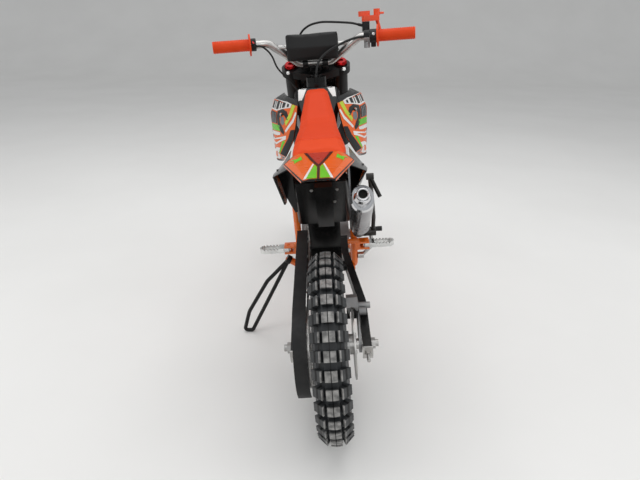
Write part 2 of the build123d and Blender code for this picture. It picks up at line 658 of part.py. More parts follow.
# Engine: crankcase with round covers, finned barrel, carburettor with its filter
CASE_HALF_W = 40.0
COVER_RIGHT = (FRONT_SPROCKET_Y + 59, 300, 56, 24)
COVER_LEFT = (FRONT_SPROCKET_Y + 101, 300, 50, 30)
KICK_SHAFT = Vector(0, FRONT_SPROCKET_Y + 19, 296)
with BuildPart() as crankcase:
    plate(
        ((378, 262), (400, 240), (520, 236), (552, 268), (546, 340), (512, 362.56), (400, 376), (378, 346)),
        -CASE_HALF_W, CASE_HALF_W,
    )
    for side, (y, z, radius, depth) in ((1, COVER_RIGHT), (-1, COVER_LEFT)):
        with BuildSketch(side_plane(side * CASE_HALF_W)) as cover:
            with Locations((y, z)):
                Circle(radius)
        extrude(cover.sketch, amount=side * depth, taper=8)
    rod(KICK_SHAFT + Vector(56, 0, 0), KICK_SHAFT + Vector(96, 0, 0), 24)
    rod(
        FRONT_SPROCKET - Vector(CASE_HALF_W, 0, 0), FRONT_SPROCKET + Vector(CHAIN_X - SPROCKET_T, 0, 0),
        SHAFT_D - 2 * SOFT_GAP,
    )
park(crankcase.part, "crankcase")

BARREL_Y = 465.0
BARREL_D = 66.0
FINS = 8
FIN_PITCH = 12.5
FIN_T = 3.2
with BuildPart() as cylinder:
    rod((0, BARREL_Y, 368.2), (0, BARREL_Y + 14.16, 486.2), BARREL_D)
    rod((0, 412, 404), (0, BARREL_Y, 404), 34)
    rod((0, BARREL_Y, 400), (0, 527, 400), 36)
    for fin in range(FINS):
        level = Vector(0, BARREL_Y + 2 + fin * 1.6, 380 + fin * FIN_PITCH)
        with BuildSketch(Plane(origin=level, z_dir=(0, 0.12, 1))) as fin_face:
            RectangleRounded(96, 104, 20)
        extrude(fin_face.sketch, amount=FIN_T)
    rod((0, BARREL_Y + 14, 486), (0, BARREL_Y + 17, 506), 22)
park(cylinder.part, "cylinder")

with BuildPart() as carburettor:
    rod((0, 411.7, 404), (0, 390, 404), 30)
    rod((0, 389, 380), (0, 389, 440), 34)
    rod((0, 389, 406), (0, 346, 412), 44)
park(carburettor.part, "carburettor")

# Exhaust pipe along the right side, and the oval silencer with its coned outlet
SILENCER_REAR = Vector(84, 60, 517)
SILENCER_FRONT = Vector(84, 218, 392)
SILENCER_W = 47.0
SILENCER_H = 60.0
SILENCER_ROUND = 23.0
OUTLET_D = 25.0
OUTLET_BORE = 19.0
CONE_L = 16.0
LIP_L = 8.0
PIPE_D = 30.0
silencer_run = (SILENCER_FRONT - SILENCER_REAR).normalized()


def silencer_plane(place):
    """The plane across the silencer at a place on its axis: local X right."""
    return Plane(origin=place, x_dir=(1, 0, 0), z_dir=-silencer_run)


with BuildPart() as exhaust_pipe:
    tube(
        (
            (0, 527.3, 400), (0, 564, 400), (64, 566, 372), (106, 510, 326), (106, 430, 322),
            (102, 340, 338), (84, 262, 357.2), SILENCER_FRONT + silencer_run * SOFT_GAP,
        ),
        PIPE_D, bend=24,
    )
park(exhaust_pipe.part, "exhaust_pipe")

with BuildPart() as silencer:
    nose = SILENCER_FRONT - silencer_run * 26
    tail = SILENCER_REAR + silencer_run * 5
    with BuildSketch(silencer_plane(SILENCER_FRONT)) as inlet:
        RectangleRounded(PIPE_D + 6, PIPE_D + 6, 17)
    with BuildSketch(silencer_plane(nose)) as body:
        RectangleRounded(SILENCER_W, SILENCER_H, SILENCER_ROUND)
    with BuildSketch(silencer_plane(tail)) as band:
        RectangleRounded(SILENCER_W, SILENCER_H, SILENCER_ROUND)
    with BuildSketch(silencer_plane(SILENCER_REAR)) as cap:
        RectangleRounded(SILENCER_W - 6, SILENCER_H - 6, SILENCER_ROUND - 3)
    loft([inlet.sketch, body.sketch, band.sketch, cap.sketch], ruled=True)
    with BuildSketch(silencer_plane(SILENCER_REAR)) as cone_foot:
        Circle(OUTLET_D / 2 + 6)
    with BuildSketch(silencer_plane(SILENCER_REAR - silencer_run * CONE_L)) as cone_tip:
        Circle(OUTLET_D / 2)
    loft([cone_foot.sketch, cone_tip.sketch], ruled=True)
    rod(SILENCER_REAR, SILENCER_REAR - silencer_run * (CONE_L + LIP_L), OUTLET_D)
    rod(
        SILENCER_REAR + silencer_run * 20, SILENCER_REAR - silencer_run * (CONE_L + LIP_L + 1),
        OUTLET_BORE, mode=Mode.SUBTRACT,
    )
    plate(((104, 490), (128, 482), (132, 566), (114, 566)), 59.4, 63.4)
park(silencer.part, "silencer")

# Rear shock
SHOCK_BODY_D = 22.0
SPRING_D = 50.0
with BuildPart() as rear_shock:
    low = Vector(0, SHOCK_LOW_Y, SHOCK_LOW_Z)
    high = Vector(0, SHOCK_HIGH_Y, SHOCK_HIGH_Z)
    along = (high - low).normalized()
    rod(low + along * 8, high - along * 8, SHOCK_BODY_D)
    rod(low + along * 26, high - along * 44, SPRING_D)
    for eye in (low, high):
        across = Vector(SHOCK_EYE_W / 2, 0, 0)
        rod(eye - across, eye + across, SHOCK_BODY_D)
        rod(eye - across * 2, eye + across * 2, SHOCK_BOLT_D + 2 * SOFT_GAP, mode=Mode.SUBTRACT)
park(rear_shock.part, "rear_shock")

def rail_at(y):
    """The top rail's x and z at y, in the subframe."""
    share = (CROSS_Y - 16 - y) / (CROSS_Y - 16 - SUB_END_Y)
    return (
        SUB_START_X + (SUB_END_X - SUB_START_X) * share,
        CROSS_Z + 12 + (SUB_END_Z - CROSS_Z - 12) * share,
    )


def over_rail(y):
    """A height just clear of the top rails at y."""
    return rail_at(y)[1] + SUB_TUBE_D * 0.52 + SOFT_GAP


# Columns: y, half width, underside z, top z
SEAT_STATIONS = (
    (168.0, 60.0, over_rail(168.0), 592.0),
    (212.0, 62.0, over_rail(212.0), 602.0),
    (280.0, 56.0, 545.0, 618.0),
    (behind_head(339.6), 49.0, 552.0, 632.0),
    (behind_head(279.6), 43.0, 590.0, 655.0),
    (behind_head(229.6), 34.0, 626.0, 678.0),
    (behind_head(199.6), 20.0, 664.0, 691.0),
)
SEAT_CORNER = 12.0


def section_face(y, half, low, high, corner):
    """One rounded cross section at y."""
    with BuildSketch(cross_plane(y)) as section:
        with Locations((0, (low + high) / 2)):
            RectangleRounded(2 * half, high - low, corner)
    return section.sketch


with BuildPart() as seat:
    loft([section_face(*row, corner=SEAT_CORNER) for row in SEAT_STATIONS], ruled=True)
park(seat.part, "seat")

TANK_TOP = 682.0
TANK_HALF_W = 62.0
# Columns: y, half width, underside z, top z
TANK_STATIONS = (
    (behind_head(237.6), 46.0, 562.0, 598.0),
    (behind_head(177.6), TANK_HALF_W, 577.0, 664.0),
    (behind_head(159.6), TANK_HALF_W, 584.0, TANK_TOP),
    (behind_head(93.6), 44.0, 612.0, TANK_TOP),
    (behind_head(71.6), 28.0, 632.0, 672.0),
)
with BuildPart() as fuel_tank:
    loft([section_face(*row, corner=14.0) for row in TANK_STATIONS], ruled=True)
park(fuel_tank.part, "fuel_tank")

CAP_Y = behind_head(129.6)
CAP_H = 27.0
CAP_D = 56.0
CAP_LOBES = 8
NIPPLE_D = 8.0
NIPPLE_H = 6.0
VENT_RUN = Vector(2, 3, 13).normalized()
vent_root = Vector(0, CAP_Y, TANK_TOP + CAP_H - 1)
vent_start = vent_root + VENT_RUN * (NIPPLE_H + 1)
with BuildPart() as fuel_cap:
    rod((0, CAP_Y, TANK_TOP), (0, CAP_Y, TANK_TOP + CAP_H), CAP_D)
    with BuildSketch(Plane.XY.offset(TANK_TOP + CAP_H / 2)) as flutes:
        with Locations((0, CAP_Y)):
            with PolarLocations(CAP_D / 2 + 3, CAP_LOBES):
                Circle(6)
    extrude(flutes.sketch, amount=CAP_H, mode=Mode.SUBTRACT)
    rod(vent_root, vent_start, NIPPLE_D)
park(fuel_cap.part, "fuel_cap")

# Each shroud is a thin flared panel, lofted up through level slices.
# Columns: z, rear x, rear distance behind the head, front x, front distance behind the head
SHROUD_SLICES = (
    (484.0, 112.0, 159.6, 133.0, 129.6),
    (515.0, 98.0, 237.6, 137.0, 109.6),
    (560.0, 72.0, 239.6, 141.0, 89.6),
    (610.0, 60.0, 241.6, 143.0, 79.6),
    (650.0, 53.0, 241.6, 128.0, 77.6),
    (667.0, 60.0, 229.6, 97.0, 87.6),
)
SHROUD_BULGE = 7.0
SHROUD_BOSS_SLICE = 3
SHROUD_BOSS_D = 10.0


def strip_face(plane, rear, front, bulge):
    """One thin bowed strip between two points of a plane, thickened toward the origin's side."""
    run = Vector(front[0] - rear[0], front[1] - rear[1], 0)
    out = Vector(run.Y, -run.X, 0).normalized()
    if out.X * rear[0] < 0:
        out = -out
    middle = Vector((rear[0] + front[0]) / 2, (rear[1] + front[1]) / 2, 0) + out * bulge
    inner = [Vector(*point, 0) - out * SHELL_T for point in (rear, front)]
    with BuildSketch(plane) as section:
        with BuildLine():
            ThreePointArc(rear, (middle.X, middle.Y), front)
            Line(front, (inner[1].X, inner[1].Y))
            ThreePointArc(
                (inner[1].X, inner[1].Y), ((middle - out * SHELL_T).X, (middle - out * SHELL_T).Y),
                (inner[0].X, inner[0].Y),
            )
            Line((inner[0].X, inner[0].Y), rear)
        make_face()
    return section.sketch


with BuildPart() as shrouds:
    for side in (-1, 1):
        slices = []
        for z, rear_x, rear_back, front_x, front_back in SHROUD_SLICES:
            rear = (side * rear_x, behind_head(rear_back))
            front = (side * front_x, behind_head(front_back))
            slices.append(strip_face(Plane.XY.offset(z), rear, front, SHROUD_BULGE))
        loft(slices, ruled=True)
        z, rear_x, rear_back, front_x, front_back = SHROUD_SLICES[SHROUD_BOSS_SLICE]
        boss_back = (TANK_STATIONS[1][0] + TANK_STATIONS[2][0]) / 2
        share = (boss_back - behind_head(rear_back)) / (rear_back - front_back)
        panel_x = rear_x + (front_x - rear_x) * share + SHROUD_BULGE * 4 * share * (1 - share)
        rod(
            (side * (TANK_HALF_W + SOFT_GAP), boss_back, z + 8),
            (side * panel_x, boss_back, z + 8), SHROUD_BOSS_D,
        )
park(shrouds.part, "shrouds")


def flat_shell(y, half, flat, crown, drop):
    """One strip of angular fender at y: flat on top, with sloped edges."""
    top = ((-half, crown - drop), (-flat, crown), (flat, crown), (half, crown - drop))
    with BuildSketch(cross_plane(y)) as section:
        with BuildLine():
            Polyline(*top, *((x, z - SHELL_T) for x, z in reversed(top)), close=True)
        make_face()
    return section.sketch


with BuildPart() as rear_fender:
    loft([flat_shell(*row) for row in FENDER_STATIONS], ruled=True)
park(rear_fender.part, "rear_fender")

# Side panels: flared wings, wider below the seat than at their edges.
# Columns: y, top x and z, ridge x and z, low x, left low z, right low z
PANEL_STATIONS = (
    (98.0, 62.0, 579.0, 98.0, 562.0, 80.0, 500.0, 536.0),
    (200.0, 68.0, 570.0, 107.0, 540.0, 86.0, 470.0, 490.0),
    (335.0, 72.0, 560.0, 100.0, 522.0, 93.0, 488.0, 488.0),
)
PANEL_BOSS_D = 8.0
PANEL_BOSS_END = 8.0


def panel_face(y, top_x, top_z, ridge_x, ridge_z, low_x, low_z, side):
    """One bent strip of a side panel at y."""
    outer = ((top_x, top_z), (ridge_x, ridge_z), (low_x, low_z))
    inner = ((top_x, top_z - SHELL_T), (ridge_x - SHELL_T, ridge_z), (low_x - SHELL_T, low_z))
    with BuildSketch(cross_plane(y)) as section:
        with BuildLine():
            Polyline(*((side * x, z) for x, z in outer + inner[::-1]), close=True)
        make_face()
    return section.sketch


with BuildPart() as side_panels:
    for side in (-1, 1):
        strips = []
        for *row, left_low, right_low in PANEL_STATIONS:
            strips.append(panel_face(*row, left_low if side < 0 else right_low, side))
        loft(strips, ruled=True)
        for y, ridge_x in ((PANEL_STATIONS[1][0], PANEL_STATIONS[1][3]), (275.0, 102.5)):
            x, z = rail_at(y)
            rod(
                (side * (x + SUB_TUBE_D / 2 + 2 * SOFT_GAP), y, z), (side * (ridge_x - PANEL_BOSS_END), y, z),
                PANEL_BOSS_D,
            )
park(side_panels.part, "side_panels")

# Inner mudguard: a bent sheet between shock and wheel, wide above the arms
GUARD_HALF_W = 52.0
GUARD_FOOT_HALF_W = 38.0
with BuildPart() as inner_mudguard:
    plate(
        ((198, 416), (126, 500), (84, 552), (81, 549), (123, 498), (195, 414)),
        -GUARD_HALF_W, GUARD_HALF_W,
    )
    plate(
        ((BRIDGE_Y + 2, 288.3), (BRIDGE_Y + 2, 330), (196, 420), (193, 418), (BRIDGE_Y - 1, 329),
         (BRIDGE_Y - 1, 288.3)),
        -GUARD_FOOT_HALF_W, GUARD_FOOT_HALF_W,
    )
    plate(((195, 414), (123, 498), (81, 549), (76, 540), (116, 490), (186, 408)), -13, 24)
park(inner_mudguard.part, "inner_mudguard")

# Chain guard over the top run and round the back of the sprocket
GUARD_X_LOW = -75.0
GUARD_X_HIGH = -47.0
GUARD_GAP = 15.0
GUARD_RUN = 336.0
GUARD_END = 226.0
STAY_T = 3.0
guard_in = REAR_PITCH_R + PLATE_H / 2 + GUARD_GAP
guard_out = guard_in + SHELL_T
run_angle = CHAIN_TILT + degrees(WRAP)
run_dir = (sin(radians(run_angle)), -cos(radians(run_angle)))


def guard_point(radius, along):
    """A side-view point on the guard's straight run, along it from the rear wrap."""
    y, z = polar(REAR_AXLE, radius, run_angle)
    return (y + run_dir[0] * along, z + run_dir[1] * along)


with BuildPart() as chain_guard:
    with BuildSketch(side_plane(GUARD_X_LOW)) as strip:
        with BuildLine():
            middle_angle = (run_angle + GUARD_END) / 2
            Line(guard_point(guard_out, GUARD_RUN), guard_point(guard_out, 0))
            ThreePointArc(
                guard_point(guard_out, 0), polar(REAR_AXLE, guard_out, middle_angle),
                polar(REAR_AXLE, guard_out, GUARD_END),
            )
            Line(polar(REAR_AXLE, guard_out, GUARD_END), polar(REAR_AXLE, guard_in, GUARD_END))
            ThreePointArc(
                polar(REAR_AXLE, guard_in, GUARD_END), polar(REAR_AXLE, guard_in, middle_angle),
                guard_point(guard_in, 0),
            )
            Line(guard_point(guard_in, 0), guard_point(guard_in, GUARD_RUN))
            Line(guard_point(guard_in, GUARD_RUN), guard_point(guard_out, GUARD_RUN))
        make_face()
    extrude(strip.sketch, amount=GUARD_X_HIGH - GUARD_X_LOW)
    stay_top = guard_point(guard_in + 1, 100)
    stay_x = -ARM_REAR_X + ARM_W / 2 + SOFT_GAP
    plate(
        (
            (84, REAR_TYRE_R + 27), (102, REAR_TYRE_R + 33), (stay_top[0] + 9, stay_top[1] + 1),
            (stay_top[0] - 9, stay_top[1] - 1),
        ),
        stay_x, stay_x + STAY_T,
    )
park(chain_guard.part, "chain_guard")

# Controls on the frame. A peg is an open tray with a toothed rim and a round outer end.
PEG_X = 118.0
PEG_L = 66.0
PEG_W = 30.0
PEG_T = 13.0
PEG_WALL = 5.0
PEG_PAD_L = 12.0
PEG_NOTCHES = 5
PEG_NOTCH_PITCH = 9.0
PEG_NOTCH_DEPTH = 4.0
with BuildPart() as footpegs:
    for side in (-1, 1):
        low = Plane.XY.offset(PEG_Z - PEG_T / 2)
        inner_l = PEG_L - PEG_W / 2
        with BuildSketch(low) as tray:
            with Locations((side * (PEG_X + inner_l / 2), PEG_Y)):
                Rectangle(inner_l, PEG_W)
            with Locations((side * (PEG_X + inner_l), PEG_Y)):
                Circle(PEG_W / 2)
            well_l = inner_l - PEG_PAD_L
            with Locations((side * (PEG_X + PEG_PAD_L + well_l / 2), PEG_Y)):
                Rectangle(well_l, PEG_W - 2 * PEG_WALL, mode=Mode.SUBTRACT)
            with Locations((side * (PEG_X + inner_l), PEG_Y)):
                Circle(PEG_W / 2 - PEG_WALL, mode=Mode.SUBTRACT)
        extrude(tray.sketch, amount=PEG_T)
        with BuildSketch(cross_plane(PEG_Y - PEG_W)) as notches:
            for notch in range(PEG_NOTCHES):
                x = PEG_X + PEG_PAD_L + PEG_NOTCH_PITCH * (notch + 0.5)
                top = PEG_Z + PEG_T / 2
                with BuildLine():
                    Polyline(
                        (side * (x - 3.5), top + 1), (side * x, top - PEG_NOTCH_DEPTH),
                        (side * (x + 3.5), top + 1), close=True,
                    )
                make_face()
        extrude(notches.sketch, amount=-2 * PEG_W, mode=Mode.SUBTRACT)
        with BuildSketch(Plane.XY.offset(PEG_Z - PEG_TONGUE_T / 2)) as tongue:
            with Locations((side * PEG_PIN_X, PEG_Y)):
                Circle(11)
            with Locations((side * (PEG_PIN_X + PEG_X + 2) / 2, PEG_Y)):
                Rectangle(PEG_X + 2 - PEG_PIN_X, 22)
            with Locations((side * PEG_PIN_X, PEG_Y)):
                Circle(PEG_PIN_D / 2 + SOFT_GAP, mode=Mode.SUBTRACT)
        extrude(tongue.sketch, amount=PEG_TONGUE_T)
park(footpegs.part, "footpegs")

KICK_KNEE = Vector(133, 372, 352)
KICK_TOP = Vector(117, 262, 500)
KICK_TIP = Vector(138, 238, 455)
with BuildPart() as kick_start:
    rod(KICK_SHAFT + Vector(96.3, 0, 0), KICK_SHAFT + Vector(140, 0, 0), 22)
    tube((KICK_SHAFT + Vector(132, 0, 4), KICK_KNEE, KICK_TOP), 11, bend=40)
    rod(KICK_TOP - Vector(9, 0, 0), KICK_TOP + Vector(9, 0, 0), 16)
    rod(KICK_TOP, KICK_TIP, 10)
park(kick_start.part, "kick_start")

with BuildPart() as brake_pedal:
    rod((84.3, 350, 250), (100, 350, 250), 18)
    tube(((96, 350, 250), (128, 392, 258), (128, 444, 286)), 10, bend=24)
    rod((114, 444, 286), (162, 444, 286), 14)
park(brake_pedal.part, "brake_pedal")

REAR_CALIPER = ((40, 244), (52, 236), (86, 252), (92, 276), (60, 286), (40, 272))
CALIPER_IN = DISC_X - 11
CALIPER_OUT = DISC_X + 14
with BuildPart() as rear_caliper:
    plate(REAR_CALIPER, CALIPER_IN, CALIPER_OUT)
    with BuildSketch(side_plane(DISC_X - DISC_T / 2 - DISC_GAP)) as slot:
        with Locations((0, REAR_TYRE_R)):
            Circle(REAR_DISC_D / 2 + DISC_GAP + 2)
    extrude(slot.sketch, amount=DISC_T + 2 * DISC_GAP, mode=Mode.SUBTRACT)
    with BuildSketch(side_plane(DISC_X + 10)) as bracket:
        with Locations((0, REAR_TYRE_R)):
            Circle(19)
        with BuildLine():
            Polyline((-10, 221), (14, 190), (80, 248), (52, 274), close=True)
        make_face()
        with Locations((0, REAR_TYRE_R)):
            Circle(SPACER_D / 2 + SOFT_GAP, mode=Mode.SUBTRACT)
    extrude(bracket.sketch, amount=6)
    rod((CALIPER_OUT - 2, 68, 260), (CALIPER_OUT + 28, 68, 260), 15)
    rod((CALIPER_OUT - 2, 50, 256), (CALIPER_OUT + 18, 50, 256), 18)
park(rear_caliper.part, "rear_caliper")

# Fork, clamps and what they carry
CLAMP_LOW = HEAD_LOW - CLAMP_GAP - CLAMP_T
CLAMP_HIGH = HEAD_HIGH + CLAMP_GAP
CLAMP_TOP = CLAMP_HIGH + CLAMP_T
BAR_S = CLAMP_TOP + BAR_CLAMP_RISE
BAR_MOUNT_X = 29.0
BAR_MOUNT_W = 16.0
FORK_TOP = CLAMP_TOP + 3
STEM_NUT_R = 14.0
STEM_NUT_T = 9.0


def clamp_plate(s):
    """One triple clamp: two rings on the fork tubes and a bridge round the stem."""
    with BuildSketch(steer_plane(s)) as outline:
        with Locations((-FORK_X, FORK_OFFSET), (FORK_X, FORK_OFFSET)):
            Circle(FORK_OUTER_D / 2 + CLAMP_WALL)
        Circle(CLAMP_REAR_R)
        with BuildLine():
            Polyline(
                (-FORK_X, FORK_OFFSET - 26), (-14, -14), (14, -14), (FORK_X, FORK_OFFSET - 26),
                (FORK_X, FORK_OFFSET + 12), (-FORK_X, FORK_OFFSET + 12), close=True,
            )
        make_face()
        with Locations((-FORK_X, FORK_OFFSET), (FORK_X, FORK_OFFSET)):
            Circle(FORK_OUTER_D / 2 + SOFT_GAP, mode=Mode.SUBTRACT)
    extrude(outline.sketch, amount=CLAMP_T)


with BuildPart() as triple_clamps:
    clamp_plate(CLAMP_LOW)
    clamp_plate(CLAMP_HIGH)
    rod(steer_point(CLAMP_LOW + 2), steer_point(CLAMP_TOP - 1), STEM_D)
    with BuildSketch(steer_plane(CLAMP_TOP - 1)) as stem_nut:
        RegularPolygon(STEM_NUT_R, 6)
    extrude(stem_nut.sketch, amount=STEM_NUT_T)
    rod(steer_point(CLAMP_LOW - 2.5, 0, 20), steer_point(CLAMP_LOW + 2, 0, 20), 30)
    for side in (-1, 1):
        x = side * BAR_MOUNT_X
        rod(steer_point(CLAMP_TOP - 2, x, BAR_FRONT), steer_point(BAR_S, x, BAR_FRONT), 24)
        rod(
            steer_point(BAR_S, x - BAR_MOUNT_W / 2, BAR_FRONT),
            steer_point(BAR_S, x + BAR_MOUNT_W / 2, BAR_FRONT), BAR_D + 14,
        )
    rod(
        steer_point(BAR_S, -BAR_MOUNT_X - BAR_MOUNT_W, BAR_FRONT),
        steer_point(BAR_S, BAR_MOUNT_X + BAR_MOUNT_W, BAR_FRONT), BAR_D + 2 * SOFT_GAP,
        mode=Mode.SUBTRACT,
    )
park(triple_clamps.part, "triple_clamps")

with BuildPart() as fork_outers:
    for side in (-1, 1):
        top = steer_point(FORK_TOP, side * FORK_X, FORK_OFFSET)
        rod(steer_point(FORK_OUTER_LOW, side * FORK_X, FORK_OFFSET), top, FORK_OUTER_D)
        rod(
            steer_point(FORK_OUTER_LOW - 1, side * FORK_X, FORK_OFFSET), top - STEER_DIR * 6,
            FORK_INNER_D + 2 * SOFT_GAP, mode=Mode.SUBTRACT,
        )
park(fork_outers.part, "fork_outers")

with BuildPart() as fork_legs:
    for side in (-1, 1):
        rod(
            steer_point(AXLE_S, side * FORK_X, FORK_OFFSET),
            steer_point(FORK_OUTER_LOW + 180, side * FORK_X, FORK_OFFSET), FORK_INNER_D,
        )
        rod(
            steer_point(AXLE_S - 26, side * FORK_X, FORK_OFFSET),
            steer_point(AXLE_S + 50, side * FORK_X, FORK_OFFSET), FORK_INNER_D + 8,
        )
    rod(
        FRONT_AXLE - Vector(120, 0, 0), FRONT_AXLE + Vector(120, 0, 0),
        FRONT_AXLE_D + 2 * SOFT_GAP, mode=Mode.SUBTRACT,
    )
park(fork_legs.part, "fork_legs")

CAP_RIM_T = 5.0
CAP_SOCKET_R = 9.0
with BuildPart() as fork_caps:
    for side in (-1, 1):
        foot = steer_point(FORK_TOP, side * FORK_X, FORK_OFFSET)
        rod(foot, foot + STEER_DIR * CAP_RIM_T, FORK_CAP_D)
        with BuildSketch(Plane(origin=foot + STEER_DIR * CAP_RIM_T, x_dir=(1, 0, 0), z_dir=STEER_DIR)) as crown:
            Circle(FORK_CAP_D / 2)
        extrude(crown.sketch, amount=FORK_CAP_T - CAP_RIM_T, taper=40)
        with BuildSketch(Plane(origin=foot + STEER_DIR * CAP_RIM_T, x_dir=(1, 0, 0), z_dir=STEER_DIR)) as socket:
            RegularPolygon(CAP_SOCKET_R, 6)
        extrude(socket.sketch, amount=FORK_CAP_T, mode=Mode.SUBTRACT)
park(fork_caps.part, "fork_caps")


def from_axle(outline):
    """Side-view points stated ahead of and above the front axle."""
    return [(FRONT_AXLE.Y + ahead, FRONT_AXLE.Z + up) for ahead, up in outline]


FITTING_X = -54.5
FITTING_D = 8.0
with BuildPart() as front_caliper:
    plate(
        from_axle(((-97, -12), (-65, -18), (-53, 14), (-59, 44), (-89, 40))),
        -FRONT_DISC_X - 12, -FRONT_DISC_X + 10,
    )
    with BuildSketch(side_plane(-FRONT_DISC_X - DISC_T / 2 - DISC_GAP)) as slot:
        with Locations((FRONT_AXLE.Y, FRONT_AXLE.Z)):
            Circle(FRONT_DISC_D / 2 + DISC_GAP + 2)
    extrude(slot.sketch, amount=DISC_T + 2 * DISC_GAP, mode=Mode.SUBTRACT)
    plate(
        from_axle(((-65, 22), (-69, 40), (-51, 74), (-27, 76), (-25, 62), (-47, 44))),
        SOFT_GAP - FORK_X + FORK_INNER_D / 2, -FRONT_DISC_X - 6,
    )
    fitting = FRONT_AXLE + Vector(FITTING_X, -81, 38)
    hose_foot = fitting + Vector(0, 0, 16)
    rod(fitting, hose_foot - Vector(0, 0, SOFT_GAP), FITTING_D)
park(front_caliper.part, "front_caliper")

with BuildPart() as front_axle:
    rod(FRONT_AXLE - Vector(104, 0, 0), FRONT_AXLE + Vector(104, 0, 0), FRONT_AXLE_D)
    for side in (-1, 1):
        foot = FORK_X + (FORK_INNER_D + 8) / 2 + SOFT_GAP
        with BuildSketch(side_plane(side * foot)) as nut:
            with Locations((FRONT_AXLE.Y, FRONT_AXLE.Z)):
                RegularPolygon(10, 6)
        extrude(nut.sketch, amount=side * 8)
park(front_axle.part, "front_axle")

# Columns: distance ahead of the front axle, half width, crown z, drop of the edge
FRONT_FENDER_STATIONS = (
    (-210.0, 44.0, 592.0, 20.0),
    (-170.0, 48.0, 608.0, 20.0),
    (-75.0, 56.0, 622.0, 20.0),
    (45.0, 58.0, 618.0, 16.0),
    (145.0, 46.0, 600.0, 12.0),
    (201.0, 24.0, 582.0, 6.0),
)


def arched_shell(ahead, half, crown, drop):
    """One arched strip of the front fender, ahead of the front axle."""
    with BuildSketch(cross_plane(FRONT_AXLE.Y + ahead)) as section:
        with BuildLine():
            ThreePointArc((-half, crown - drop), (0, crown), (half, crown - drop))
            Line((half, crown - drop), (half, crown - drop - SHELL_T))
            ThreePointArc(
                (half, crown - drop - SHELL_T), (0, crown - SHELL_T), (-half, crown - drop - SHELL_T)
            )
            Line((-half, crown - drop - SHELL_T), (-half, crown - drop))
        make_face()
    return section.sketch


with BuildPart() as front_fender:
    loft([arched_shell(*row) for row in FRONT_FENDER_STATIONS], ruled=True)
park(front_fender.part, "front_fender")

PLATE_FRONT = FORK_OFFSET + FORK_OUTER_D / 2 + CLAMP_WALL + SOFT_GAP
with BuildPart() as number_plate:
    with BuildSketch(Plane(origin=steer_point(0, 0, PLATE_FRONT), x_dir=(1, 0, 0), z_dir=-FORK_FRONT)) as face:
        with BuildLine():
            Polyline(
                (-66, 690), (-78, 800), (-66, 838), (66, 838), (78, 800), (66, 690), (30, 656), (-30, 656),
                close=True,
            )
        make_face()
    extrude(face.sketch, amount=-SHELL_T)
park(number_plate.part, "number_plate")

# Handlebar
BAR_CENTRE = steer_point(BAR_S, 0, BAR_FRONT)
BAR_END_Y = BAR_CENTRE.Y - BAR_TIP_BACK
BAR_BEND = Vector(BAR_HALF_W - BAR_STRAIGHT, BAR_CENTRE.Y - BAR_BEND_BACK, BAR_END_Z - BAR_BEND_DROP)
BAR_FLAT_X = 46.0
CROSSBAR_SHARE = 0.8
CROSSBAR_X = BAR_FLAT_X + (BAR_BEND.X - BAR_FLAT_X) * CROSSBAR_SHARE
cross = BAR_CENTRE + (BAR_BEND - BAR_CENTRE - Vector(BAR_FLAT_X, 0, 0)) * CROSSBAR_SHARE
with BuildPart() as handlebar:
    half_bar = (
        (BAR_HALF_W, BAR_END_Y, BAR_END_Z), (BAR_BEND.X, BAR_BEND.Y, BAR_BEND.Z),
        (BAR_FLAT_X, BAR_CENTRE.Y, BAR_CENTRE.Z),
    )
    tube(tuple((-x, y, z) for x, y, z in half_bar) + half_bar[::-1], BAR_D, bend=30)
    rod((-CROSSBAR_X, cross.Y, cross.Z), (CROSSBAR_X, cross.Y, cross.Z), CROSSBAR_D)
park(handlebar.part, "handlebar")


def on_bar(side, from_end):
    """A point on the handlebar's straight end, measured in from its tip."""
    outer = Vector(side * BAR_HALF_W, BAR_END_Y, BAR_END_Z)
    inward = (Vector(side * BAR_BEND.X, BAR_BEND.Y, BAR_BEND.Z) - outer).normalized()
    return outer + inward * from_end


def ring_side(side):
    """The level direction across the handlebar's straight end, toward the front."""
    inward = (on_bar(side, 1) - on_bar(side, 0)).normalized()
    return Vector(side * inward.Y, -side * inward.X, 0)


def bar_bore(side, near, far):
    """Cut the handlebar's clearance through what is clamped on it."""
    rod(on_bar(side, near), on_bar(side, far), BAR_D + 2 * SOFT_GAP, mode=Mode.SUBTRACT)


FLANGE_T = 4.0
with BuildPart() as grips:
    for side in (-1, 1):
        rod(on_bar(side, 0), on_bar(side, GRIP_L), GRIP_D)
        rod(on_bar(side, GRIP_L - FLANGE_T), on_bar(side, GRIP_L), GRIP_FLANGE_D)
        bar_bore(side, -2, GRIP_L + 2)
park(grips.part, "grips")

PAD_LEFT_X = -81.0
PAD_RIGHT_X = 70.0
with BuildPart() as bar_pad:
    # Columns: ahead of the crossbar, above the crossbar
    pad_outline = ((0, -42), (-15, -42), (-22, -4), (-9, 34), (19, 32), (19, -8), (0, -8))
    plate([(cross.Y + ahead, cross.Z + up) for ahead, up in pad_outline], PAD_LEFT_X, PAD_RIGHT_X)
    rod(
        (PAD_LEFT_X - 1, cross.Y, cross.Z), (PAD_RIGHT_X + 1, cross.Y, cross.Z),
        CROSSBAR_D + 2 * SOFT_GAP, mode=Mode.SUBTRACT,
    )
park(bar_pad.part, "bar_pad")

SWITCH_FROM = 1.0
SWITCH_W = 14.0
with BuildPart() as kill_switch:
    switch = on_bar(-1, GRIP_L + SWITCH_FROM + SWITCH_W / 2)
    rod(on_bar(-1, GRIP_L + SWITCH_FROM), on_bar(-1, GRIP_L + SWITCH_FROM + SWITCH_W), 34)
    rod(switch, switch - ring_side(-1) * 24 + Vector(0, 0, 7), 13)
    rod(switch, switch - ring_side(-1) * 28 + Vector(0, 0, 8.2), 8)
    bar_bore(-1, GRIP_L - 5, GRIP_L + 50)
park(kill_switch.part, "kill_switch")

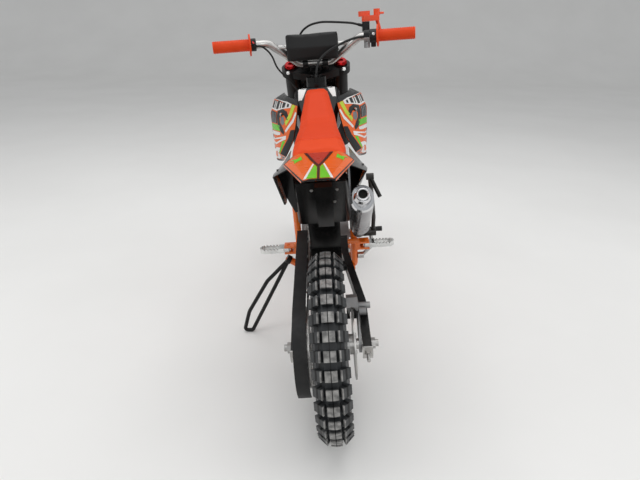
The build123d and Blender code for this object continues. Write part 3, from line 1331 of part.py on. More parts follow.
with BuildPart() as throttle_housing:
    rod(on_bar(1, GRIP_L + 1), on_bar(1, GRIP_L + 19), 36)
    rod(on_bar(1, GRIP_L + 10), on_bar(1, GRIP_L + 10) + Vector(0, 4, -28), 14)
    bar_bore(1, GRIP_L - 5, GRIP_L + 50)
park(throttle_housing.part, "throttle_housing")

# Brake master: a clamp, an arm up to the reservoir, and the lever's perch above that
MASTER = on_bar(1, GRIP_L + 28)
MASTER_W = 16.0
RESERVOIR_W = 20.0
RESERVOIR_L = 30.0
RESERVOIR_H = 26.0
RESERVOIR_Z = MASTER.Z + 12
RESERVOIR_Y = MASTER.Y + 32
HOSE_HEAD = MASTER + Vector(-22, 29, 32)
HOSE_RUN = Vector(-17, 3, 5)
with BuildPart() as brake_master:
    rod(on_bar(1, GRIP_L + 28 - MASTER_W / 2), on_bar(1, GRIP_L + 28 + MASTER_W / 2), 34)
    rod(MASTER, MASTER + Vector(0, 28, 20), 14)
    rod(MASTER, MASTER + Vector(-1, -3, -30), 16)
    with BuildSketch(Plane.XY.offset(RESERVOIR_Z)) as reservoir:
        with Locations((MASTER.X, RESERVOIR_Y)):
            RectangleRounded(RESERVOIR_W, RESERVOIR_L, 4)
    extrude(reservoir.sketch, amount=RESERVOIR_H)
    ferrule = -HOSE_RUN.normalized()
    rod(HOSE_HEAD + ferrule * 14, HOSE_HEAD + ferrule * SOFT_GAP, 8)
    bar_bore(1, GRIP_L - 5, GRIP_L + 50)
park(brake_master.part, "brake_master")

PERCH_Z = RESERVOIR_Z + RESERVOIR_H + SOFT_GAP
PERCH_H = 15.0
with BuildPart() as brake_lever:
    with BuildSketch(Plane.XY.offset(PERCH_Z)) as perch:
        with Locations((MASTER.X + 15, MASTER.Y + 43)):
            RectangleRounded(50, 22, 6)
    extrude(perch.sketch, amount=PERCH_H)
    with BuildSketch(Plane.XY.offset(PERCH_Z + PERCH_H - 2)) as blade:
        with Locations((MASTER.X - 2.5, MASTER.Y + 46)):
            RectangleRounded(33, 14, 6)
    extrude(blade.sketch, amount=14)
    knob = MASTER + Vector(33, 43, 0)
    rod((knob.X, knob.Y, PERCH_Z + PERCH_H - 2), (knob.X, knob.Y, PERCH_Z + PERCH_H + 16), 18)
    rod((knob.X, knob.Y, PERCH_Z + PERCH_H + 4), (knob.X + 20, knob.Y, PERCH_Z + PERCH_H + 4), 6)
    tube(
        (
            (MASTER.X + 32, MASTER.Y + 46, PERCH_Z + 8), (MASTER.X + 44, MASTER.Y + 50, MASTER.Z + 4),
            (MASTER.X + 112, MASTER.Y + 32, MASTER.Z - 3),
        ),
        10, bend=12,
    )
park(brake_lever.part, "brake_lever")

# Side stand: a loop of bent tube in two halves from the pivot's eye, its toe on the floor
floor_up = Vector(SIN_LEAN, 0, COS_LEAN)


def stand_point(down, inboard):
    """A point in the loop's plane, down its legs from the pivot and inboard of them."""
    return STAND_PIVOT + STAND_DIR * down + STAND_AXIS * inboard


def down_to_floor(inboard):
    """How far down the loop its tube rests on the floor."""
    height = (STAND_PIVOT + STAND_AXIS * inboard).dot(floor_up) + LIFT - STAND_TUBE_D / 2
    return -height / STAND_DIR.dot(floor_up)


with BuildPart() as side_stand:
    toe = stand_point(down_to_floor(-1), -1)
    tube((stand_point(6, 0), stand_point(down_to_floor(9), 9), toe), STAND_TUBE_D, bend=9)
    tube(
        (
            stand_point(6, -2), stand_point(90, -24), stand_point(205, -27),
            stand_point(down_to_floor(-12), -12), toe,
        ),
        STAND_TUBE_D, bend=(60, 60, 8),
    )
    rod(STAND_PIVOT - STAND_AXIS * 7, STAND_PIVOT + STAND_AXIS * 6.2, STAND_EYE_D)
    rod(
        STAND_PIVOT - STAND_AXIS * 20, STAND_PIVOT + STAND_AXIS * 20, STAND_BOLT_D + 2 * RUNNING_GAP,
        mode=Mode.SUBTRACT,
    )
park(side_stand.part, "side_stand")


# Hoses and the switch's lead, held at both ends
def cord(label, points, diameter):
    """Lay a cord along its route, with bends as wide as the runs beside them allow."""
    bends = []
    for before, corner, after in zip(points, points[1:], points[2:]):
        run_in = Vector(*corner) - Vector(*before)
        run_out = Vector(*after) - Vector(*corner)
        half_turn = radians(run_in.get_angle(run_out)) / 2
        bends.append(0.45 * min(run_in.length, run_out.length) / tan(half_turn))
    with BuildPart() as piece:
        length = tube(points, diameter, bend=bends)
    share = piece.part.volume / (pi * diameter**2 / 4 * length)
    print(label, "length", round(length), "smallest bend", round(min(bends), 1),
          "bends in diameters", [round(bend / diameter, 1) for bend in bends], "volume share", round(share, 4))
    park(piece.part, label)


vent_dir = (on_bar(1, GRIP_L) - on_bar(1, 0)).normalized()
vent_foot = on_bar(1, GRIP_L + 28 + MASTER_W / 2 + SOFT_GAP) - ring_side(1) * 14
lead_start = on_bar(-1, GRIP_L + SWITCH_FROM + SWITCH_W + SOFT_GAP) - ring_side(-1) * 13.5 - Vector(0, 0, 4)
lead_run = (on_bar(-1, GRIP_L) - on_bar(-1, 0)).normalized()
cord(
    "vent_hose",
    (
        vent_start + VENT_RUN * SOFT_GAP, vent_start + VENT_RUN * 13.5, (8, 574, 745), (22, 584, 761),
        (42, 588, 774), (64, 591, 784), (87, 594, 793), (108, 597.5, 799),
        vent_foot + vent_dir * 15.3, vent_foot,
    ),
    6.5,
)
cord(
    "kill_lead",
    (
        lead_start, lead_start + lead_run * 13, (-136, 601, 789), (-126.5, 611, 777), (-120, 621, 763),
        (-117, 631, 748), (-112, 640, 733), (-101, 645, 718), (-86, 644, 702), (-68, 644, 680),
        (-50, 646, 655), (-35, 644.3, 635), (-22.2, 641, 616.5),
    ),
    5.0,
)
cord(
    "brake_hose",
    (
        HOSE_HEAD, HOSE_HEAD + HOSE_RUN, (81, 646, 843), (52, 650, 846),
        (24, 652, 848), (-8, 655, 843), (-32, 661, 829), (-46, 670, 806), (-50, 680, 776), (-46, 690, 749),
        (-40, 702, 721), (-38, 717, 690), (-40, 732, 658), (-46, 745, 632), (-58, 762, 617), (-67, 772, 596),
        (-71, 780, 573), (-72, 797, 534), (-72, 815, 492), (-70, 832, 452), (-59.5, 844, 413),
        (-52, 844, 380), (-50.5, 839, 350), (-52, 836, 322), (-54, 834.5, 296),
        hose_foot,
    ),
    6.0,
)
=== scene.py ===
# %% [markdown]
# A mini motocross bike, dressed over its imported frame.
# The frame holds every rigid part at its real size. This file adds the finishes, the
# soft parts, the stickers and the cables, and lights it all in a plain studio.

# %% Load the frame
import json
from math import atan2, cos, degrees, pi, radians, sin

import bmesh
import bpy
from mathutils import Matrix, Vector


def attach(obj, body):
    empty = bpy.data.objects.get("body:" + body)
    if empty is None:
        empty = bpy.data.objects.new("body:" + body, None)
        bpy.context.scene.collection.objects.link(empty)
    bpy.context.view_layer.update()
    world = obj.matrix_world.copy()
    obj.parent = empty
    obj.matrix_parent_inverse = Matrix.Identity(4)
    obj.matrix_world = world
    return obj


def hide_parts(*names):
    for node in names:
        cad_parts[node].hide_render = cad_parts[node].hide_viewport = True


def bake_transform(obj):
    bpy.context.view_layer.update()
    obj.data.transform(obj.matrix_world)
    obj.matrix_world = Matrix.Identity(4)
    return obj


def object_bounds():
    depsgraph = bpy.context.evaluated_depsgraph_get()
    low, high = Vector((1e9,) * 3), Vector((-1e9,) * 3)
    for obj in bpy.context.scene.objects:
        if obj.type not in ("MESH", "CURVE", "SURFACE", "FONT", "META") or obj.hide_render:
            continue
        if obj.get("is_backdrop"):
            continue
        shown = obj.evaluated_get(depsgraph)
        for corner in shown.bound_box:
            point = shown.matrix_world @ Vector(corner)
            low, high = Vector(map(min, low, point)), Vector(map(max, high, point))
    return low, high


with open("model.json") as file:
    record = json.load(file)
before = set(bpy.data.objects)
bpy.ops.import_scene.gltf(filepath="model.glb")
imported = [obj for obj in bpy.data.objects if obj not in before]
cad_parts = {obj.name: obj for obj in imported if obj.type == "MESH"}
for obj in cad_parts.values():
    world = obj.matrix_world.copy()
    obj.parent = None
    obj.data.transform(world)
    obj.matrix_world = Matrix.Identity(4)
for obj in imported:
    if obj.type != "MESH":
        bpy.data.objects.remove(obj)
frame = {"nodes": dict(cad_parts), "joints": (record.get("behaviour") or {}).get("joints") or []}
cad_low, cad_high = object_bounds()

SCENE = bpy.context.scene

# %% [markdown]
# The bike leans on its stand, but its parts are easier to think about upright.
# The rear axle gives the lean: its axis is the upright bike's X axis. From it comes
# one matrix, BIKE, that turns upright places in metres into places in the frame.

# %% The upright bike's own axes
joints = {joint["name"]: joint for joint in frame["joints"]}
# The axles as (ahead, up) in millimetres
REAR_AXLE, FRONT_AXLE = (0, 205), (915, 218)

bike_right = Vector(joints["rear_wheel_spin"]["axis"]).normalized()
bike_ahead = Vector((0.0, 1.0, 0.0))
bike_up = bike_right.cross(bike_ahead)
bike_foot = Vector(joints["rear_wheel_spin"]["pos_m"]) - bike_up * (REAR_AXLE[1] / 1000)
BIKE = Matrix((bike_right, bike_ahead, bike_up)).transposed().to_4x4()
BIKE.translation = bike_foot
UPRIGHT = BIKE.inverted()
print("lean", round(degrees(atan2(bike_right.z, bike_right.x)), 2), "degrees")


def at(x, y, z):
    """A place in millimetres on the upright bike, as a point of the frame in metres."""
    return BIKE @ Vector((x / 1000, y / 1000, z / 1000))


def show(name, data):
    """Put a mesh, a lamp or a camera in the scene as an object."""
    made = bpy.data.objects.new(name, data)
    SCENE.collection.objects.link(made)
    return made


# %% [markdown]
# The camera comes first, because cords and stickers are judged through it.
# It stands behind the bike, 0.85 m above the floor, and looks down at it.

# %% The camera
CAMERA_PLACE = (0.0163, -1.3676, 0.8519)
CAMERA_LENS = 28.125
CAMERA_DOWN, CAMERA_RIGHT, CAMERA_ROLL = 23.75, 0.45, 1.04

lens = bpy.data.cameras.new("camera")
lens.lens = CAMERA_LENS
camera = show("camera", lens)
camera.matrix_world = (
    Matrix.Translation(CAMERA_PLACE)
    @ Matrix.Rotation(radians(-CAMERA_RIGHT), 4, "Z")
    @ Matrix.Rotation(radians(90 - CAMERA_DOWN), 4, "X")
    @ Matrix.Rotation(radians(CAMERA_ROLL), 4, "Z")
)
SCENE.camera = camera
SCENE.view_settings.view_transform = "Standard"

# %% [markdown]
# Nodes are added over and over, so one helper adds a node, sets it and links it. Two
# more add the commonest kinds, and the last starts a node group that finishes share.

# %% Helpers for node trees
def put(tree, kind, inputs=None, **settings):
    """Add a shader node. Each input is given a value, or another node's output."""
    made = tree.nodes.new("ShaderNode" + kind)
    for key, value in settings.items():
        setattr(made, key, value)
    for key, value in (inputs or {}).items():
        if isinstance(value, bpy.types.NodeSocket):
            tree.links.new(value, made.inputs[key])
        else:
            made.inputs[key].default_value = value
    return made


def calc(tree, operation, *values, kind="Math", wants=0, **settings):
    """Work out one value from others with a Math or a VectorMath node."""
    made = put(tree, kind, dict(enumerate(values)), operation=operation, **settings)
    return made.outputs[wants]


def remap(tree, value, low, high, to_low=0.0, to_high=1.0):
    """Stretch a value from one range to another, and stop it at both ends."""
    made = put(tree, "MapRange", {
        "Value": value, "From Min": low, "From Max": high, "To Min": to_low, "To Max": to_high})
    return made.outputs["Result"]


def start_group(name, inputs, outputs):
    """Start a node group from (name, kind, default) inputs and (name, kind) outputs."""
    tree = bpy.data.node_groups.new(name, "ShaderNodeTree")
    for socket_name, kind, default in inputs:
        socket = tree.interface.new_socket(socket_name, in_out="INPUT", socket_type="NodeSocket" + kind)
        socket.default_value = default
    for socket_name, kind in outputs:
        tree.interface.new_socket(socket_name, in_out="OUTPUT", socket_type="NodeSocket" + kind)
    return tree, tree.nodes.new("NodeGroupInput").outputs, tree.nodes.new("NodeGroupOutput").inputs


# %% [markdown]
# Handling leaves every surface a little uneven. One group mixes two near colours and
# two gloss levels by a soft noise, and gives a fine height. Each finish sets how large
# its patches and its grain are.

# %% The uneven surface group
def make_uneven():
    tree, given, wanted = start_group(
        "uneven_surface",
        [("Colour", "Color", (0.5, 0.5, 0.5, 1)), ("Second Colour", "Color", (0.4, 0.4, 0.4, 1)),
         ("Patch Scale", "Float", 12.0), ("Grain Scale", "Float", 400.0),
         ("Gloss Low", "Float", 0.3), ("Gloss High", "Float", 0.5)],
        [("Colour", "Color"), ("Roughness", "Float"), ("Height", "Float")],
    )
    place = put(tree, "TexCoord").outputs["Object"]
    patches = put(tree, "TexNoise", {"Vector": place, "Scale": given["Patch Scale"], "Detail": 4.0})
    soft = remap(tree, patches.outputs["Fac"], 0.35, 0.65)
    grain = put(tree, "TexNoise", {"Vector": place, "Scale": given["Grain Scale"], "Detail": 3.0})
    colour = put(
        tree, "MixRGB", {"Fac": soft, "Color1": given["Colour"], "Color2": given["Second Colour"]})
    gloss = remap(tree, soft, 0.0, 1.0, given["Gloss Low"], given["Gloss High"])
    tree.links.new(colour.outputs["Color"], wanted["Colour"])
    tree.links.new(gloss, wanted["Roughness"])
    tree.links.new(grain.outputs["Fac"], wanted["Height"])
    return tree


UNEVEN = make_uneven()

# %% [markdown]
# Fine dust settles on what faces up, and thickest near the floor, where the tyres
# throw it. The group puts out a mask, and each finish says how much it takes.

# %% The dust group
def make_dust():
    tree, given, wanted = start_group(
        "settled_dust",
        [("Top", "Float", 0.35), ("Amount", "Float", 0.5)],
        [("Mask", "Float")],
    )
    place = put(tree, "TexCoord").outputs["Object"]
    normal = put(tree, "SeparateXYZ", {0: put(tree, "NewGeometry").outputs["Normal"]})
    height = put(tree, "SeparateXYZ", {0: place})
    low = remap(tree, height.outputs["Z"], 0.0, given["Top"], 1.0, 0.0)
    up = remap(tree, normal.outputs["Z"], -0.3, 1.0)
    cloud = put(tree, "TexNoise", {"Vector": place, "Scale": 34.0, "Detail": 6.0, "Roughness": 0.65})
    blotch = remap(tree, cloud.outputs["Fac"], 0.42, 0.72)
    share = calc(tree, "MULTIPLY", calc(tree, "MULTIPLY", low, up), blotch)
    tree.links.new(calc(tree, "MULTIPLY", share, given["Amount"], use_clamp=True), wanted["Mask"])
    return tree


DUST = make_dust()

# %% [markdown]
# A finish starts with a Principled shader. The uneven group drives its colour, gloss
# and bump, and the shader's own sockets hold what stays the same all over. A tint lays
# one more colour over a finish where a mask is 1.

# %% A function for one finish
DUST_COLOUR = (0.42, 0.39, 0.35)
DUST_ROUGHNESS = 0.9
BUMP_DEPTH = 0.0004


def tint(material, mask, colour):
    """Mix one more colour into a finish where a mask is 1."""
    tree = material.node_tree
    shader = tree.nodes["Principled BSDF"]
    shown = shader.inputs["Base Color"].links[0].from_socket
    mixed = put(tree, "MixRGB", {"Fac": mask, "Color1": shown, "Color2": (*colour, 1)})
    tree.links.new(mixed.outputs["Color"], shader.inputs["Base Color"])


def finish(name, colour, second, gloss, patch=12.0, grain=400.0, bump=0.05, dust=0.0, dust_top=0.35,
           metallic=0.0, coat=0.0, shine=0.5):
    """A procedural finish. gloss is (low, high) roughness, shine how much a matt one mirrors."""
    material = bpy.data.materials.new(name)
    material.use_nodes = True
    tree = material.node_tree
    shader = tree.nodes["Principled BSDF"]
    for socket, value in (("Metallic", metallic), ("Coat Weight", coat), ("Specular IOR Level", shine)):
        shader.inputs[socket].default_value = value
    surface = put(tree, "Group", {
        "Colour": (*colour, 1), "Second Colour": (*second, 1), "Patch Scale": patch,
        "Grain Scale": grain, "Gloss Low": gloss[0], "Gloss High": gloss[1],
    }, node_tree=UNEVEN)
    tree.links.new(surface.outputs["Colour"], shader.inputs["Base Color"])
    rough = surface.outputs["Roughness"]
    if dust:
        mask = put(tree, "Group", {"Top": dust_top, "Amount": dust}, node_tree=DUST).outputs["Mask"]
        tint(material, mask, DUST_COLOUR)
        rough = remap(tree, mask, 0.0, 1.0, rough, DUST_ROUGHNESS)
    tree.links.new(rough, shader.inputs["Roughness"])
    height = put(
        tree, "Bump", {"Height": surface.outputs["Height"], "Strength": bump, "Distance": BUMP_DEPTH})
    tree.links.new(height.outputs["Normal"], shader.inputs["Normal"])
    return material


# %% [markdown]
# The rigid finishes differ only by numbers, so they come from one table: painted
# tube, moulded plastic, cast and polished metal, and rubber.

# %% The rigid finishes
# Columns: name, colour, second colour, roughness range, other values
RIGID = (
    ("orange_paint", (0.78, 0.15, 0.006), (0.72, 0.13, 0.005), (0.22, 0.34),
     dict(patch=9, bump=0.03, dust=0.4, coat=0.35)),
    ("black_paint", (0.004, 0.004, 0.0045), (0.008, 0.008, 0.008), (0.3, 0.44),
     dict(patch=10, bump=0.05, dust=0.12, shine=0.28)),
    ("black_plastic", (0.003, 0.003, 0.003), (0.006, 0.006, 0.006), (0.14, 0.26),
     dict(patch=7, bump=0.02, dust=0.06, dust_top=0.5, shine=0.3)),
    ("matt_plastic", (0.008, 0.008, 0.009), (0.014, 0.014, 0.014), (0.44, 0.58),
     dict(patch=14, grain=900, bump=0.2, dust=0.2, shine=0.3)),
    ("orange_plastic", (0.8, 0.12, 0.002), (0.76, 0.11, 0.002), (0.2, 0.3),
     dict(patch=6, bump=0.02)),
    ("aluminium", (0.66, 0.66, 0.65), (0.55, 0.55, 0.54), (0.26, 0.42),
     dict(patch=24, grain=700, bump=0.1, dust=0.25, metallic=1.0)),
    ("steel", (0.55, 0.54, 0.52), (0.42, 0.41, 0.4), (0.28, 0.46),
     dict(patch=30, grain=800, bump=0.12, dust=0.2, metallic=1.0)),
    ("lever_orange", (0.8, 0.075, 0.015), (0.74, 0.066, 0.012), (0.2, 0.32),
     dict(patch=20, bump=0.03)),
    ("satin_steel", (0.3, 0.3, 0.31), (0.24, 0.24, 0.25), (0.16, 0.28),
     dict(patch=14, grain=600, bump=0.05, metallic=1.0)),
    ("dark_steel", (0.06, 0.058, 0.055), (0.035, 0.034, 0.033), (0.34, 0.5),
     dict(patch=40, grain=800, bump=0.12, dust=0.1, metallic=1.0)),
    ("bright_alloy", (0.78, 0.78, 0.77), (0.62, 0.62, 0.61), (0.18, 0.32),
     dict(patch=40, grain=700, bump=0.1, dust=0.05, metallic=1.0)),
    ("chrome", (0.7, 0.7, 0.71), (0.64, 0.64, 0.65), (0.05, 0.12),
     dict(patch=16, bump=0.02, metallic=1.0)),
    ("cast_alloy", (0.34, 0.34, 0.34), (0.26, 0.26, 0.26), (0.45, 0.62),
     dict(patch=20, grain=520, bump=0.5, dust=0.35, metallic=0.9)),
    ("red_anodised", (0.42, 0.012, 0.014), (0.33, 0.008, 0.01), (0.16, 0.28),
     dict(patch=18, bump=0.03, metallic=1.0)),
    ("black_rubber", (0.009, 0.009, 0.009), (0.016, 0.016, 0.016), (0.5, 0.66),
     dict(patch=20, grain=600, bump=0.3, dust=0.15, shine=0.3)),
    ("orange_rubber", (0.72, 0.06, 0.005), (0.67, 0.053, 0.004), (0.45, 0.58),
     dict(patch=26, grain=700, bump=0.3, shine=0.25)),
    ("seat_vinyl", (0.68, 0.047, 0.002), (0.63, 0.042, 0.002), (0.48, 0.56),
     dict(patch=7, grain=1200, bump=0.25, shine=0.2)),
    ("pad_vinyl", (0.004, 0.004, 0.004), (0.008, 0.008, 0.008), (0.4, 0.52),
     dict(patch=9, grain=1200, bump=0.3, shine=0.3)),
    # Near black for the disc in the silencer's outlet: painted shade
    ("painted_pipe_shade", (0.006, 0.006, 0.006), (0.012, 0.011, 0.01), (0.85, 0.95),
     dict(patch=60, bump=0.4)),
    ("red_plastic", (0.62, 0.015, 0.01), (0.55, 0.012, 0.009), (0.22, 0.32),
     dict(patch=30, bump=0.03)),
)
FINISHES = {
    name: finish(name, colour, second, gloss, **others) for name, colour, second, gloss, others in RIGID}

# %% [markdown]
# The graphics are thin vinyl film. Its colours come from one table.

# %% The films
# Columns: name, colour, second colour
FILMS = (
    ("black_film", (0.003, 0.003, 0.003), (0.006, 0.006, 0.006)),
    ("white_film", (0.8, 0.79, 0.77), (0.72, 0.71, 0.69)),
    ("grey_film", (0.2, 0.21, 0.22), (0.16, 0.17, 0.18)),
    ("green_film", (0.13, 0.56, 0.015), (0.11, 0.5, 0.012)),
    ("lime_film", (0.55, 0.68, 0.05), (0.48, 0.6, 0.04)),
    ("orange_film", (0.8, 0.12, 0.002), (0.76, 0.11, 0.002)),
    ("dull_red_film", (0.42, 0.035, 0.02), (0.36, 0.03, 0.018)),
)
for name, colour, second in FILMS:
    FINISHES[name] = finish(
        name, colour, second, (0.24, 0.36), patch=18, bump=0.03, shine=0.35)

# %% [markdown]
# Riding wears a tyre's knob tops grey. The group finds the tops by their distance from
# the circle at the middle of the tread, and marks the grooves that split the blocks: one
# down the middle and one on each shoulder. The grooves are painted near black, as
# painted shade for recesses that the solid doesn't have.

# %% The tread group
def make_tread():
    tree, given, wanted = start_group(
        "tread_marks",
        [("Axle", "Vector", (0, 0, 0)), ("Axis", "Vector", (1, 0, 0)), ("Crown Centre", "Float", 0.166),
         ("Crown", "Float", 0.039)],
        [("Tops", "Float"), ("Groove Shade", "Float")],
    )
    place = put(tree, "TexCoord").outputs["Object"]
    arm = calc(tree, "SUBTRACT", place, given["Axle"], kind="VectorMath")
    across = calc(tree, "DOT_PRODUCT", arm, given["Axis"], kind="VectorMath", wants="Value")
    square = calc(tree, "CROSS_PRODUCT", arm, given["Axis"], kind="VectorMath")
    out = calc(tree, "LENGTH", square, kind="VectorMath", wants="Value")
    rise = calc(tree, "SUBTRACT", out, given["Crown Centre"])
    pair = put(tree, "CombineXYZ", {"X": across, "Y": rise}).outputs[0]
    reach = calc(tree, "LENGTH", pair, kind="VectorMath", wants="Value")
    tops = remap(tree, calc(tree, "SUBTRACT", given["Crown"], reach), 0.004, 0.0008)
    side = calc(tree, "ABSOLUTE", across)
    middle = remap(tree, side, 0.0012, 0.0007)
    angle = calc(tree, "ARCTAN2", side, rise)
    off = calc(tree, "ABSOLUTE", calc(tree, "SUBTRACT", angle, radians(45)))
    shoulder = remap(tree, off, radians(4.2), radians(3.2))
    share = remap(tree, remap(tree, angle, radians(32), radians(30)), 0.0, 1.0, 0.12, 1.0)
    tree.links.new(calc(tree, "MULTIPLY", tops, share), wanted["Tops"])
    tree.links.new(calc(tree, "MAXIMUM", middle, shoulder), wanted["Groove Shade"])
    return tree


TREAD = make_tread()
print("groups", UNEVEN.name, DUST.name, TREAD.name)

# %% [markdown]
# A tyre takes two tints: grey for the worn tops, and near black in the grooves as
# painted shade. Each tyre has its own axle and crown.

# %% The tyres' finishes
def make_tyre_finish(name, axle, crown):
    """Black tread rubber with worn grey tops and painted shade in the grooves. crown is the tread's radius.
    """
    material = finish(
        name, (0.016, 0.018, 0.020), (0.024, 0.026, 0.028), (0.38, 0.54), patch=26, grain=500, bump=0.5,
        dust=0.3, dust_top=0.30, shine=0.35)
    tree = material.node_tree
    marks = put(tree, "Group", {
        "Axle": at(0, *axle), "Axis": bike_right, "Crown Centre": (axle[1] - crown) / 1000,
        "Crown": crown / 1000,
    }, node_tree=TREAD)
    wear = put(tree, "TexNoise", {"Vector": put(tree, "TexCoord").outputs["Object"], "Scale": 90.0})
    share = remap(tree, wear.outputs["Fac"], 0.35, 0.7, 0.30, 0.95)
    tint(material, calc(tree, "MULTIPLY", marks.outputs["Tops"], share), (0.36, 0.35, 0.335))
    # Near black along the grooves: painted shade for the recesses between blocks
    tint(material, marks.outputs["Groove Shade"], (0.004, 0.004, 0.004))
    return material


REAR_CROWN, FRONT_CROWN = 39.0, 33.7
for name, *sizes in (
    ("rear_tyre_rubber", REAR_AXLE, REAR_CROWN), ("front_tyre_rubber", FRONT_AXLE, FRONT_CROWN),
):
    FINISHES[name] = make_tyre_finish(name, *sizes)

# %% [markdown]
# The seat's cover is painted paler behind its kick: a painted highlight where it turns up to the light.

# %% The seat's painted highlight behind the kick
SEAT_HIGHLIGHT_Y = at(0, 232, 600).y
SEAT_HIGHLIGHT_EDGE = 0.002
kicked = FINISHES["seat_vinyl"].node_tree
seat_place = put(kicked, "SeparateXYZ", {0: put(kicked, "TexCoord").outputs["Object"]})
seat_painted_highlight = remap(
    kicked, seat_place.outputs["Y"], SEAT_HIGHLIGHT_Y + SEAT_HIGHLIGHT_EDGE, SEAT_HIGHLIGHT_Y - SEAT_HIGHLIGHT_EDGE,
    0.0, 0.6)
# Paler orange over the tail is a painted highlight, not a paler vinyl
tint(FINISHES["seat_vinyl"], seat_painted_highlight, (0.74, 0.062, 0.004))
print("finishes", len(FINISHES))

# %% [markdown]
# Every node that keeps its shape gets a finish. The table names the nodes finish by
# finish, as a parts list would.

# %% Finishes on the frame's nodes
NODE_FINISH = {
    "orange_paint": ("frame",),
    "lever_orange": ("brake_lever",),
    "black_paint": ("swingarm", "subframe", "triple_clamps", "fork_outers", "side_stand", "exhaust_pipe"),
    "black_plastic": ("side_panels", "inner_mudguard", "number_plate", "fuel_cap", "fuel_tank"),
    "matt_plastic": ("chain_guard", "kill_switch", "throttle_housing"),
    "orange_plastic": ("shrouds", "rear_fender", "front_fender"),
    "aluminium": ("rear_rim", "front_rim"),
    "bright_alloy": ("footpegs",),
    "dark_steel": ("kick_start",),
    "steel": ("rear_disc", "front_disc", "rear_sprocket", "front_sprocket", "chain", "rear_axle",
              "front_axle", "rear_shock", "brake_pedal", "handlebar"),
    "chrome": ("silencer", "fork_legs"),
    "cast_alloy": ("crankcase", "cylinder", "carburettor", "rear_caliper", "front_caliper",
                   "brake_master"),
    "red_anodised": ("fork_caps",),
    "black_rubber": ("vent_hose", "kill_lead", "brake_hose"),
    "orange_rubber": ("grips",),
    "rear_tyre_rubber": ("rear_tyre",),
    "front_tyre_rubber": ("front_tyre",),
    "seat_vinyl": ("seat",),
    "pad_vinyl": ("bar_pad",),
}


def paint(piece, material):
    """Give a piece one finish on all its faces."""
    piece.data.materials.clear()
    piece.data.materials.append(material)


for finish_name, nodes in NODE_FINISH.items():
    for node in nodes:
        if node in frame["nodes"]:
            paint(frame["nodes"][node], FINISHES[finish_name])
bare = sorted(set(frame["nodes"]) - {node for nodes in NODE_FINISH.values() for node in nodes})
print("nodes with no finish yet:", bare)

# %% [markdown]
# Every new piece is made in a bmesh, in metres of the frame. One helper turns it into
# an object that rides on a body and takes a finish. Others add a cone, which is also a
# cylinder or a block, and join outlines into a closed form.


def make_piece(name, mesh, finish_name, body, smooth=False):
    """Turn a bmesh into a finished piece that rides on a body."""
    bmesh.ops.recalc_face_normals(mesh, faces=mesh.faces)
    data = bpy.data.meshes.new(name)
    mesh.to_mesh(data)
    mesh.free()
    if smooth:
        data.shade_smooth()
    made = show(name, data)
    paint(made, FINISHES[finish_name])
    if body:
        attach(made, body)
    print("piece", name, "faces", len(data.polygons))
    return made


def facing(place, way):
    """A matrix that stands at a place with its Z along a direction."""
    turn = Vector((0, 0, 1)).rotation_difference(Vector(way))
    return Matrix.Translation(place) @ turn.to_matrix().to_4x4()


def bike_way(x, y, z):
    """A direction on the upright bike, as a unit direction of the frame."""
    return (BIKE.to_3x3() @ Vector((x, y, z))).normalized()


def add_cone(mesh, place, sides, foot, tip, high):
    """Add a closed cone about its middle, from its radii and height in millimetres."""
    bmesh.ops.create_cone(
        mesh, cap_ends=True, segments=sides, radius1=foot / 1000, radius2=tip / 1000, depth=high / 1000,
        matrix=place)


def add_loft(mesh, rings):
    """Join rings of points, all with the same count, into one closed form."""
    made = [[mesh.verts.new(point) for point in ring] for ring in rings]
    count = len(made[0])
    for ahead, behind in zip(made, made[1:]):
        for index in range(count):
            after = (index + 1) % count
            mesh.faces.new((ahead[index], ahead[after], behind[after], behind[index]))
    mesh.faces.new(made[0])
    mesh.faces.new(made[-1])
    return mesh


# %% [markdown]
# The tank's breather hose and the kill switch's lead run from the bars to parts that
# don't turn. Each is a smooth rubber tube along its route.

# %% The hose and the lead
# Columns: name, node, diameter, route
BENDING_CORDS = (
    ("breather_hose", "vent_hose", 6.5,
     ((1.1, 561.6, 715.0), (3.0, 564.6, 727.8), (8, 574, 745), (22, 584, 761), (42, 588, 774),
      (64, 591, 784), (87, 594, 793), (108, 597.5, 799), (124.4, 598.4, 802.0), (139.4, 595.8, 802.1))),
    ("switch_lead", "kill_lead", 5.0,
     ((-22.2, 641, 616.5), (-35, 644.3, 635), (-50, 646, 655), (-68, 644, 680), (-86, 644, 702),
      (-101, 645, 718), (-112, 640, 733), (-117, 631, 748), (-120, 621, 763), (-126.5, 611, 777),
      (-136, 601, 789), (-147.4, 594.9, 798.1), (-160.2, 592.6, 798.2))),
)


def make_tube(name, diameter, route):
    """A mesh tube along a smooth NURBS line through a route in bike millimetres."""
    curve = bpy.data.curves.new(name, "CURVE")
    curve.dimensions = "3D"
    spline = curve.splines.new("NURBS")
    spline.points.add(len(route) - 1)
    for point, place in zip(spline.points, route):
        point.co = (*at(*place), 1)
    spline.order_u = 3
    spline.use_endpoint_u = True
    spline.resolution_u = 8
    curve.bevel_depth = diameter / 2000
    curve.bevel_resolution = 3
    curve.use_fill_caps = True
    holder = bpy.data.objects.new(name + "_route", curve)
    data = bpy.data.meshes.new_from_object(holder)
    bpy.data.objects.remove(holder)
    mesh = bmesh.new()
    mesh.from_mesh(data)
    bmesh.ops.remove_doubles(mesh, verts=mesh.verts, dist=0.00001)
    return make_piece(name, mesh, "black_rubber", None, smooth=True)


for name, node, diameter, route in BENDING_CORDS:
    tube = make_tube(name, diameter, route)
    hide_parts(node)
    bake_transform(tube)

# %% [markdown]
# A motocross seat is one long foam block under a tight vinyl cover. It is drawn as
# rings, a little small, then swelled by a short cloth run with air pressure, so that
# its sides fill out as foam does. The underside stays flat.

# %% Swelling a soft piece
CLOTH_PRESSURE, CLOTH_FRAMES = 4.0, 20
# Faces whose normal points further down than this are the flat underside
UNDERSIDE = -0.4


def shaped(piece):
    """A piece as its modifiers shape it."""
    return piece.evaluated_get(bpy.context.evaluated_depsgraph_get())


